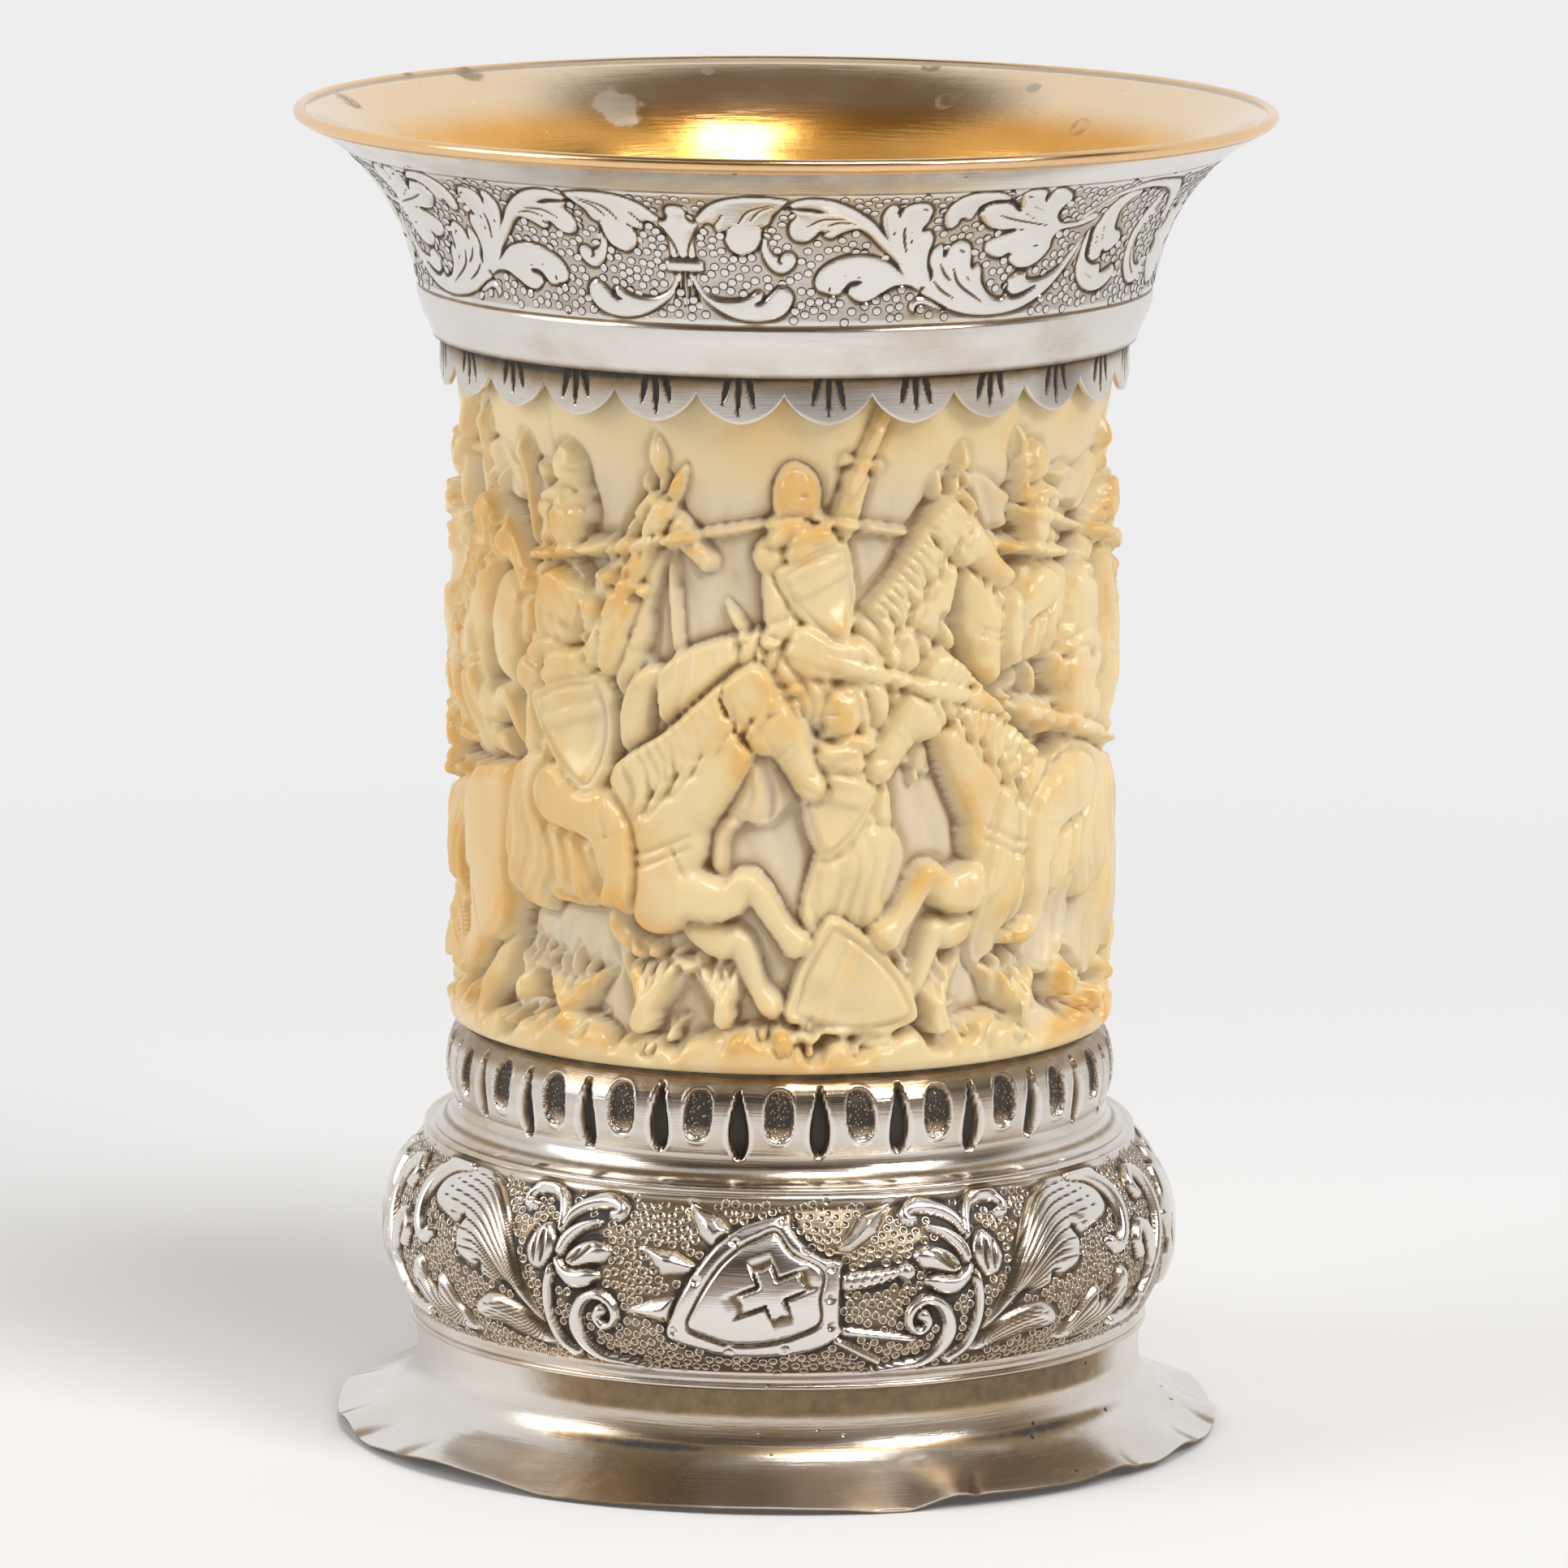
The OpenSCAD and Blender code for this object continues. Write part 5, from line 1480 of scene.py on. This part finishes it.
class BEAKER_OT_mouth(bpy.types.Operator):
    """Flared mount with its chased, ring matted frieze, and the gilt wire on its lip"""

    bl_idname = "beaker.mouth"
    bl_label = "Mouth mount"

    def execute(self, context):
        columns, bands, mean_radius = 1320, 136, 38.5
        outline, run = banded(mouth_outline(), bands)
        relief = mouth_relief(columns, len(outline), run, mean_radius)
        height = np.maximum(relief.height, -0.4)
        section = walled(raised(outline, height), inner_wall(outline, 0.6, 10))
        joint = 0.55 * np.exp(-np.arange(len(outline)) * relief.dy / 0.5)
        tarnish_and_shade = np.clip(relief.cavity(0.5, 0.19) + 0.3 * relief.ground + 0.5 * relief.lines + joint, 0, 1)
        fields = {"cavity": tarnish_and_shade, "ground": relief.ground, "rubbed": relief.cover}
        silver = silver_finish("mouth_silver", 0.2, 0.05)
        creases = (0, len(outline) - 1, len(outline), -1)
        pieces = ring_pieces("mouth_mount", section, creases, 2, fields)
        fit(pieces, "rim_mount", silver)
        # A mark as rings of radius, height and depth of stain.
        rings = [(0.36, 0.05, 0.0), (0.39, 0.03, 1.0), (0.46, 0.02, 1.0), (0.49, -0.05, 0.4)]
        matted(pieces, "rim_mount", rings, context.scene.beaker_matting.mouth_spacing, silver)
        turn = np.linspace(0, 2 * math.pi, 16, endpoint=False)
        lip_radius, lip_height, thick = 46.65, 127.96, 0.6
        wire = np.stack([lip_radius + thick * np.cos(turn), lip_height + thick * np.sin(turn)], 1)
        lip = ring_pieces("lip", around(wire, WIRE_COLUMNS, WIRE_WAVER))
        fit(lip, "lip_wire", gilt_finish("lip_gilding", 0.5))
        return {"FINISHED"}


# Painted dark reflections on the strip: degrees from the front, its width and strength.
STRIP_DARK_REFLECTIONS = [(5, 15, 0.95), (53, 7, 0.95), (-96, 24, 0.7), (138, 30, 0.8)]


class BEAKER_OT_scallops(bpy.types.Operator):
    """Strip cut in tongues that clasps the ivory, with three cut strokes on each tongue"""

    bl_idname = "beaker.scallops"
    bl_label = "Scalloped strip"

    def execute(self, context):
        tongues, each, rows = 25, 56, 34
        radius, bore = 33.2, 32.65
        # Heights of the tips, of the mount's foot, and of the strip where it is seen and where it ends.
        tip, seam, top, end = 102.1, 106.6, 106.9, 109.0
        pitch = 2 * math.pi * radius / tongues
        columns = tongues * each
        turn = np.arange(columns) / columns - 0.5
        x = turn * tongues % 1 * pitch - pitch / 2
        edge = tip + 5.182 - np.sqrt(5.2**2 - (abs(x) + 0.432) ** 2)
        number = np.floor(turn * tongues)
        share = np.linspace(0, 1, rows)[None, :] ** 1.15
        z = edge[:, None] + share * (top - edge[:, None])
        r = radius - 0.14 * bell(z - edge[:, None], 0.16)
        deep = np.zeros(z.shape)
        waver = 0.12 * np.sin(number * 2.3)
        # Strokes: where each has its foot and its head across the tongue, and the height of its foot.
        for foot, head, low in ((0.0, 0.0, 103.0), (-1.5, -0.85, 103.9), (1.5, 0.85, 103.8)):
            chain = curve_through([
                (head, top, 0.17),
                (0.65 * head + 0.35 * foot, top - 0.35 * (top - low), 0.3),
                (0.3 * head + 0.7 * foot, top - 0.7 * (top - low), 0.24),
                (foot, low, 0.02),
            ])
            near = x[:, None] - waver[:, None] * (1 + (107 - z) * 0.3)
            q, _ = to_chain(near, z + 0.2 * np.sin(number * 5.1 + foot)[:, None], chain)
            deep = np.maximum(deep, 1 - ramp(q, 0.7, 1.15))
        r = r - 0.22 * deep
        a = 360 * turn
        # Dark along the joint: brown tarnish, and painted shade under the overhanging mount that reaches
        # further down at the left front.
        overhang_shade = 0.42 + 0.5 * bell(a + 42, 26)[:, None]
        joint = 0.9 * np.exp(-(seam - z) / 0.5) + overhang_shade * np.exp(-(seam - z) / 2.4)
        outer = np.concatenate([np.stack([r, z], -1), np.broadcast_to((radius, end), (columns, 1, 2))], 1)
        ends = np.stack([np.full(columns, end), edge], 1)
        inner = np.stack([np.full(ends.shape, bore), ends], -1)
        spread = np.full(columns, 0.05)
        for at, width, strength in STRIP_DARK_REFLECTIONS:
            spread = spread + strength * bell((a - at + 180) % 360 - 180, width)
        # Painted dark reflections and shade on the strip, stronger towards the mount above it.
        dark_reflection = (0.35 + 0.65 * ramp(z, 102.4, 106.4)) * ramp(z - edge[:, None], 0.12, 0.3) * spread[:, None]
        fields = {"cavity": np.clip(deep + np.minimum(joint, 1) * 0.8, 0, 1), "ground": dark_reflection}
        creases = (0, rows, rows + 1, rows + 2)
        pieces = ring_pieces("scalloped_strip", np.concatenate([outer, inner], 1), creases, 1, fields)
        fit(pieces, "scalloped_band", silver_finish("strip_silver", 0.24, 0.25, painted_dark=1.0))
        return {"FINISHED"}


class BEAKER_OT_liner(bpy.types.Operator):
    """Gilt cup inside: flared mouth, wall and floor in one"""

    bl_idname = "beaker.liner"
    bl_label = "Gilt liner"

    def execute(self, context):
        mount = mouth_outline()
        wall, under_mount, flare_foot = 0.65, 1.25, 118.6
        flare = (mount - under_mount * row_normals(mount))[mount[:, 1] > flare_foot]
        turn = np.linspace(0, math.pi / 2, 12)
        corner = np.stack([22.6 + 4 * np.sin(turn), 45.85 - 4 * np.cos(turn)], 1)
        lean = flare[1] - flare[0]
        arrive = flare[0] - 5.0 * lean / np.hypot(*lean)
        shoulder = bezier([(26.6, 109.0), (26.6, 112.5), arrive, flare[0]], 30)
        reach = flare[-1] + 0.3 * (flare[-1] - flare[-2]) / np.hypot(*(flare[-1] - flare[-2]))
        inside = spaced(np.vstack([[(0.0, 41.85)], corner, shoulder, flare[1:], reach]), 1.15)
        outside = inside + wall * row_normals(inside)
        outside[0, 0] = 0.0
        section = around(np.vstack([outside, inside[::-1]]), 240)
        pieces = ring_pieces("gilt_cup", section, closed=False)
        fit(pieces, "gilt_liner", gilt_finish("cup_gilding"))
        return {"FINISHED"}


class BEAKER_OT_sleeve(bpy.types.Operator):
    """Ivory sleeve carved in high relief"""

    bl_idname = "beaker.sleeve"
    bl_label = "Ivory sleeve"

    def execute(self, context):
        columns, rows, inner_rows = 880, 300, 6
        bore, strip_foot, strip_bore = 27.5, 101.5, 32.1
        radius, low, high = node_mm("ivory_sleeve")
        relief = ivory_relief(columns, rows, CARVED)
        z = np.linspace(low, high, rows)
        face = radius - CARVED + np.minimum(relief.height, CARVED)
        face = np.where(z > strip_foot, np.minimum(face, strip_bore), face)
        face[:, 0] -= 0.5
        outer = np.stack([face, np.broadcast_to(z, face.shape)], -1)
        inner = np.stack([np.full(inner_rows, bore), np.linspace(high, low, inner_rows)], 1)
        crest = np.clip((relief.height - relief.blurred(relief.height, 1.3)) / 0.7, 0, 1)
        # The cavity field gives stain in the cuts and painted shade of undercuts.
        fields = {"cavity": relief.cavity(0.5, 0.7), "height": relief.height / CARVED, "crest": crest}
        creases = (rows - 1, rows, -1)
        pieces = ring_pieces("ivory_sleeve_carved", walled(outer, inner), creases, 4, fields)
        fit(pieces, "ivory_sleeve", ivory_finish("old_ivory"))
        return {"FINISHED"}


class BEAKER_OT_collar(bpy.types.Operator):
    """Collar with sunk, stippled ovals and spear-shaped slots over a polished neck"""

    bl_idname = "beaker.collar"
    bl_label = "Gadrooned collar"

    def execute(self, context):
        count, each, spacing, mean_radius, bore = 26, 36, 0.16, 32.4, 30.2
        outline = spaced(collar_outline(), spacing)
        rows, columns = len(outline), count * each
        relief = Relief(2 * math.pi * mean_radius, columns, spacing * (rows - 1), rows)
        pitch = relief.around / count
        x = (np.arange(columns) - columns // 2)[:, None] * relief.dx
        z = outline[None, :, 1]
        number = np.round(x / pitch)
        u = x - number * pitch
        lean = 0.06 * np.sin(number * 1.7)
        oval = (abs(u + lean * (z - 36)) / 1.4) ** 2.6
        oval = oval + (abs(z - 36.1 - 0.15 * np.sin(number * 2.9)) / 2.5) ** 2.6
        sunk = 1 - ramp(oval, 0.75, 1.05)
        number = np.floor(x / pitch)
        w = x - (number + 0.5) * pitch
        along = np.clip((z - 32.0 - 0.25 * np.sin(number * 2.2)) / 6.9, 0, 1)
        half = 0.98 * np.sin(math.pi * along**0.62) ** 0.75 + 1e-3
        slot = 1 - ramp(abs(w + 0.07 * np.sin(number * 3.3) * (z - 35.6)) / half, 0.6, 1.1)
        slot = slot * (along > 0) * (along < 1)
        swell = 0.06 * np.cos(2 * math.pi * u / pitch) * ramp(z, 32.6, 34.6)
        relief.height = swell - 0.1 - 0.5 * sunk - slot
        rim = bell(oval - 1.25, 0.22) * (1 - slot)
        lips = bell(abs(w) / half - 1.3, 0.2) * (along > 0.02) * (along < 0.9)
        relief.height += 0.07 * rim + 0.06 * lips
        # Oxide in the sunk ovals and slots; the ovals are darker towards their tops with painted shade from
        # the ivory above.
        tarnish_and_shade = np.maximum(sunk * (0.85 - 0.5 * ramp(35.4 - z, 0.0, 1.4)), 0.95 * slot)
        # Painted dark reflections: two bands in the hollow neck.
        neck = 0.24 * bell(z - 31.2, 0.35) + 0.45 * bell(z - 30.3, 0.3)
        # Dark band along the top of the collar under the ivory: brown tarnish and painted shade.
        tarnish_and_shade = np.maximum(tarnish_and_shade, 0.42 * ramp(z, 36.8, 38.4) + neck)
        inner = np.array([(bore, 39.7), (bore, 34.0), (bore, 29.6)])
        section = walled(raised(outline, relief.height), inner)
        fields = {"cavity": tarnish_and_shade, "ground": sunk, "rubbed": np.clip(rim + lips, 0, 1)}
        creases = (0, rows - 1, rows, rows + 2)
        pieces = ring_pieces("collar", section, creases, 1, fields)
        fit(pieces, "gadrooned_collar", silver_finish("collar_silver", 0.18, 0.4, stipple=1.6))
        return {"FINISHED"}


class BEAKER_OT_drum(bpy.types.Operator):
    """Embossed, ring matted drum of the base, with the wires over its seams"""

    bl_idname = "beaker.drum"
    bl_label = "Embossed drum"

    def execute(self, context):
        columns, bands, mean_radius = 1320, 106, 38.2
        outline, run = banded(drum_outline(), bands)
        rows = len(outline)
        relief = drum_relief(columns, rows, run, mean_radius)
        ends = np.arange(rows) * run / (rows - 1)
        sink = 0.6 * ramp(ends, 0.2, 1.0) * (1 - ramp(ends, run - 1.4, run - 0.3))
        height = np.maximum(relief.height, -0.3) - sink
        section = walled(raised(outline, height), inner_wall(outline, 1.4, 10))
        tarnish_and_shade = np.clip(relief.cavity(0.6, 0.36) + 0.57 * relief.ground + 0.7 * relief.lines, 0, 1)
        silver = silver_finish("drum_silver", 0.17, 0.3)
        fields = {"cavity": tarnish_and_shade, "ground": relief.ground, "rubbed": np.clip(relief.height / 0.8, 0, 1)}
        pieces = ring_pieces("drum", section, (0, rows - 1, rows, -1), 2, fields)
        fit(pieces, "embossed_drum", silver)
        # A mark as rings of radius, height and depth of stain.
        rings = [(0.29, 0.0, 0.45), (0.35, 0.06, 0.0), (0.42, 0.05, 0.0), (0.47, -0.06, 1.0)]
        matted(pieces, "embossed_drum", rings, context.scene.beaker_matting.drum_spacing, silver)
        wire_silver = silver_finish("wire_silver", 0.16, 0.4)
        for node, name in (("upper_fillet_wire", "upper_wire"), ("lower_fillet_wire", "lower_wire")):
            outer, low, high = node_mm(node)
            wire = rounded((outer - 1.3, low), (outer, high), 0.28)
            fit(ring_pieces(name, around(wire, WIRE_COLUMNS, WIRE_WAVER)), node, wire_silver)
        return {"FINISHED"}


# The foot's edge: degrees from the front and how far it stands above or below its mean. Painted dark
# reflections as (degrees, width, strength), and creases with their width.
FOOT_EDGE = [
    (-172, 0.3), (-160, -0.4), (-148, 0.3), (-136, -1.05), (-124, 0.35), (-112, -0.3), (-100, 0.5),
    (-88, -0.5), (-77, 0.6), (-68, -0.5), (-59, 0.15), (-49, 0.7), (-40, 0.3), (-31, -0.6), (-16, -0.3),
    (0, -0.2), (9, -0.4), (16, -1.05), (23, 0.5), (30, 0.2), (42, 0.0), (50, 0.6), (58, -0.3), (66, 0.55),
    (76, -0.5), (86, 0.6), (97, -1.05), (108, 0.3), (120, -0.3), (132, 0.35), (144, -0.3), (156, 0.3),
    (166, -0.35),
]
FOOT_DARK_REFLECTIONS = [(-20, 13, 0.55), (42, 15, 0.45), (152, 18, 0.35), (-120, 14, 0.4)]
FOOT_CREASES = [
    (-82, 1.6), (-71, 1.8), (-57, 2.2), (26, 1.2), (53, 1.0), (70, 1.8), (81, 1.6), (112, 2.0), (149, 1.6),
    (-104, 2.0), (-131, 1.6), (-164, 1.8),
]


class BEAKER_OT_foot(bpy.types.Operator):
    """Cove and spreading flange with its uneven wavy edge"""

    bl_idname = "beaker.foot"
    bl_label = "Wavy foot"

    def execute(self, context):
        columns, under_rows, table, top = 720, 30, 0.02, 10.4
        edge, slope = (42.95, 1.1), math.radians(18.5)
        sweep = (edge[0] - 7 * math.cos(slope), edge[1] + 7 * math.sin(slope))
        outline = spaced(bezier([(35.45, top), (34.5, 4.2), sweep, edge], 400), 0.22)[::-1]
        rows = len(outline)
        share = ramp(np.linspace(1, 0, rows), 0.4, 1.0)[None, :]
        a = 360 * np.arange(columns) / columns - 180
        even = np.interp(a, *zip(*FOOT_EDGE), period=360)
        soft = bell(np.arange(-12, 13), 4.0)
        even = np.convolve(np.concatenate([even[-12:], even, even[:12]]), soft / soft.sum(), "valid")
        wave = even[:, None] * share
        deep = np.zeros((columns, rows))
        for at, width in FOOT_CREASES:
            off = a[:, None] - at - 5.0 * (1 - share)
            crease = share**2 * bell(off, width)
            wave = wave - 0.2 * crease
            deep = np.maximum(deep, 0.5 * crease)
        outer = np.repeat(outline[None], columns, 0)
        outer[..., 1] = np.maximum(outer[..., 1] + wave, 0.36)
        z = outline[None, :, 1]
        # Painted dark reflections of the room in front: bands down the cove and flange on the front and
        # back, and patches low on the flange.
        reflects_room = ramp(abs(np.cos(np.radians(a - 12))), 0.42, 0.8)[:, None]
        veil_and_reflection = reflects_room * (0.62 * ramp(z, 7.0, 8.2) + 0.45 * bell(z - 4.7, 0.5))
        for at, width, strength in FOOT_DARK_REFLECTIONS:
            veil_and_reflection = veil_and_reflection + strength * bell(a - at, width)[:, None] * (1 - ramp(z, 4.6, 6.2))
        deep = np.clip(np.maximum(deep, veil_and_reflection), 0, 1)
        thin = ramp(np.linspace(0, 1, under_rows), 0.55, 0.9)[:, None]
        thick_wall, thin_wall = (inner_wall(outline, wall, under_rows) for wall in (0.7, 0.3))
        under = thick_wall * (1 - thin) + thin_wall * thin
        places = np.linspace(rows - 1, 0, under_rows)
        lift = np.stack([np.interp(places, np.arange(rows), w) for w in wave])
        inner = np.repeat(under[None], columns, 0)
        inner[..., 1] = np.clip(inner[..., 1] + lift, table, top)
        section = np.concatenate([outer, inner], 1)
        # Painted sheen on the foot: a highlight along the edge, and pale reflections on the sides and the
        # front flange.
        edge_line = bell(np.arange(rows), 2.5)[None]
        sides = 0.85 * ramp(abs(np.sin(np.radians(a - 5))), 0.45, 0.85)[:, None]
        painted_sheen = np.maximum(np.maximum(edge_line, sides), 0.45 * (1 - ramp(z, 3.2, 4.6)))
        # Dark underside: grime on the unpolished metal, and painted shade under the flange.
        deep = np.concatenate([deep, np.full((columns, under_rows), 0.7)], 1)
        pieces = ring_pieces("foot", section, (0, rows - 1, rows, -1), 1, {"cavity": deep, "rubbed": painted_sheen})
        fit(pieces, "foot_flange", silver_finish("foot_silver", 0.22, 0.7, tarnish_and_shade=0.9))
        return {"FINISHED"}


class BEAKER_OT_clamp(bpy.types.Operator):
    """Finish of the hidden plates and of the stud, washer and nut that clamp the ivory"""

    bl_idname = "beaker.clamp"
    bl_label = "Clamping parts"

    def execute(self, context):
        finish = silver_finish("clamp_silver", 0.34, 0.6)
        # The deck plate is darkened all over as painted shade in the gap under the ivory.
        gap = silver_finish("deck_silver", 0.4, 0.8, painted_shade=0.7)
        for node in ("deck_plate", "bearing_ring", "stud_plate", "draw_stud", "clamp_washer", "clamp_nut"):
            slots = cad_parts[node].data.materials
            slots.clear()
            slots.append(gap if node == "deck_plate" else finish)
        return {"FINISHED"}


# Lamps with their place and size in metres, and the point they shine at.
LAMPS = {
    "key": ((0.85, -0.75, 0.95), 0.5),
    "fill": ((-1.05, -0.35, 0.65), 0.7),
    "top": ((0.22, -0.5, 1.15), 0.36),
}
LIT_POINT = Vector((0, 0, 0.065))
# The camera: its place in metres, how far it looks down and how far it is rolled, in degrees.
CAMERA_AT = (0.00023, -1.0347, 0.2392)
CAMERA_DOWN = 9.69
CAMERA_ROLL = 0.4


class BEAKER_OT_studio(bpy.types.Operator):
    """Pale floor, soft light from the right and above, and the camera"""

    bl_idname = "beaker.studio"
    bl_label = "Studio"

    def execute(self, context):
        scene = context.scene
        studio = scene.beaker_studio
        scene.view_settings.view_transform = "Standard"
        floor = bpy.data.meshes.new("floor")
        floor.from_pydata([(-40, -40, 0), (40, -40, 0), (40, 40, 0), (-40, 40, 0)], [], [(0, 1, 2, 3)])
        pale = added("floor", floor)
        floor.materials.append(self.floor_finish(studio.floor))
        self.daylight(scene, studio)
        for name, (place, size) in LAMPS.items():
            self.lamp(name, place, size, getattr(studio, name))
        eye = bpy.data.cameras.new("camera")
        eye.lens, eye.sensor_width, eye.clip_start, eye.clip_end = studio.lens, 36.0, 0.05, 200.0
        scene.camera = added("camera", eye)
        tilt = Matrix.Rotation(math.radians(90 - CAMERA_DOWN), 4, "X")
        roll = Matrix.Rotation(math.radians(CAMERA_ROLL), 4, "Z")
        scene.camera.matrix_world = Matrix.Translation(CAMERA_AT) @ (tilt @ roll)
        return {"FINISHED"}

    def floor_finish(self, colour):
        """A matt floor under the beaker that grows into an even pale ground away from it."""
        material = bpy.data.materials.new("pale_floor")
        paint = emptied(material)
        path = paint.node("ShaderNodeLightPath")
        seen = path.value("Is Camera Ray") + path.value("Is Glossy Ray") + path.value("Is Transmission Ray")
        away = paint.measured("LENGTH", paint.where())
        even = seen.step(0, 1) * (0.08 + 0.92 * away.step(0.05, 0.42))
        matt = paint.node("ShaderNodeBsdfDiffuse", {}, {"Color": colour})
        glow = paint.node("ShaderNodeEmission", {}, {"Color": colour, "Strength": 1.0})
        both = paint.node("ShaderNodeMixShader", {}, {0: even, 1: matt.value(0), 2: glow.value(0)})
        paint.node("ShaderNodeOutputMaterial", {}, {"Surface": both.value(0)})
        return material

    def daylight(self, scene, studio):
        """Pale light from the sides and from behind, a darker room in front and a dark ceiling."""
        scene.world = bpy.data.worlds.new("studio")
        paint = emptied(scene.world)
        axes = paint.axes(paint.where("Generated"))
        front = (axes.value("X") * 0.3 - axes.value("Y") * 0.95).step(0.05, 0.4)
        sky = paint.mix(axes.value("Y").step(0.0, 0.5), studio.sides, studio.backdrop)
        sky = paint.mix(axes.value("Z").step(0.8, 0.92), sky, studio.ceiling)
        room = paint.mix(axes.value("Z").step(0.26, 0.4), studio.room, studio.gloom)
        sky = paint.mix(front * (1 - axes.value("Z").step(0.6, 0.85)), sky, room)
        light = paint.node("ShaderNodeBackground", {}, {"Color": sky, "Strength": 1.0})
        paint.node("ShaderNodeOutputWorld", {}, {"Surface": light.value(0)})

    def lamp(self, name, place, size, power):
        """A square lamp that shines at the beaker."""
        light = bpy.data.lights.new(name, "AREA")
        light.size, light.energy = size, power
        lamp = added(name, light)
        lamp.location = place
        lamp.rotation_euler = (LIT_POINT - Vector(place)).to_track_quat("-Z", "Y").to_euler()


GROUPS = {
    "beaker_silver": BeakerSilver,
    "beaker_gilding": BeakerGilding,
    "beaker_ivory": BeakerIvory,
    "beaker_matting": BeakerMatting,
    "beaker_studio": BeakerStudio,
}
STEPS = (
    BEAKER_OT_mouth, BEAKER_OT_scallops, BEAKER_OT_liner, BEAKER_OT_sleeve, BEAKER_OT_collar, BEAKER_OT_drum,
    BEAKER_OT_foot, BEAKER_OT_clamp, BEAKER_OT_studio,
)


class BEAKER_PT_panel(bpy.types.Panel):
    """Lists the pieces and their settings"""

    bl_idname = "BEAKER_PT_panel"
    bl_label = "Beaker"
    bl_space_type = "VIEW_3D"
    bl_region_type = "UI"
    bl_category = "Beaker"

    def draw(self, context):
        for step in STEPS:
            self.layout.operator(step.bl_idname)
        for name in GROUPS:
            group = getattr(context.scene, name)
            box = self.layout.box()
            for key in group.__annotations__:
                box.prop(group, key)


def register():
    for name, group in GROUPS.items():
        bpy.utils.register_class(group)
        setattr(bpy.types.Scene, name, PointerProperty(type=group))
    for step in (*STEPS, BEAKER_PT_panel):
        bpy.utils.register_class(step)


def unregister():
    for step in (BEAKER_PT_panel, *reversed(STEPS)):
        bpy.utils.unregister_class(step)
    for name, group in GROUPS.items():
        delattr(bpy.types.Scene, name)
        bpy.utils.unregister_class(group)


def main():
    """Builds every piece and the studio."""
    register()
    for step in STEPS:
        getattr(bpy.ops.beaker, step.bl_idname.split(".")[1])()


if __name__ == "__main__":
    main()
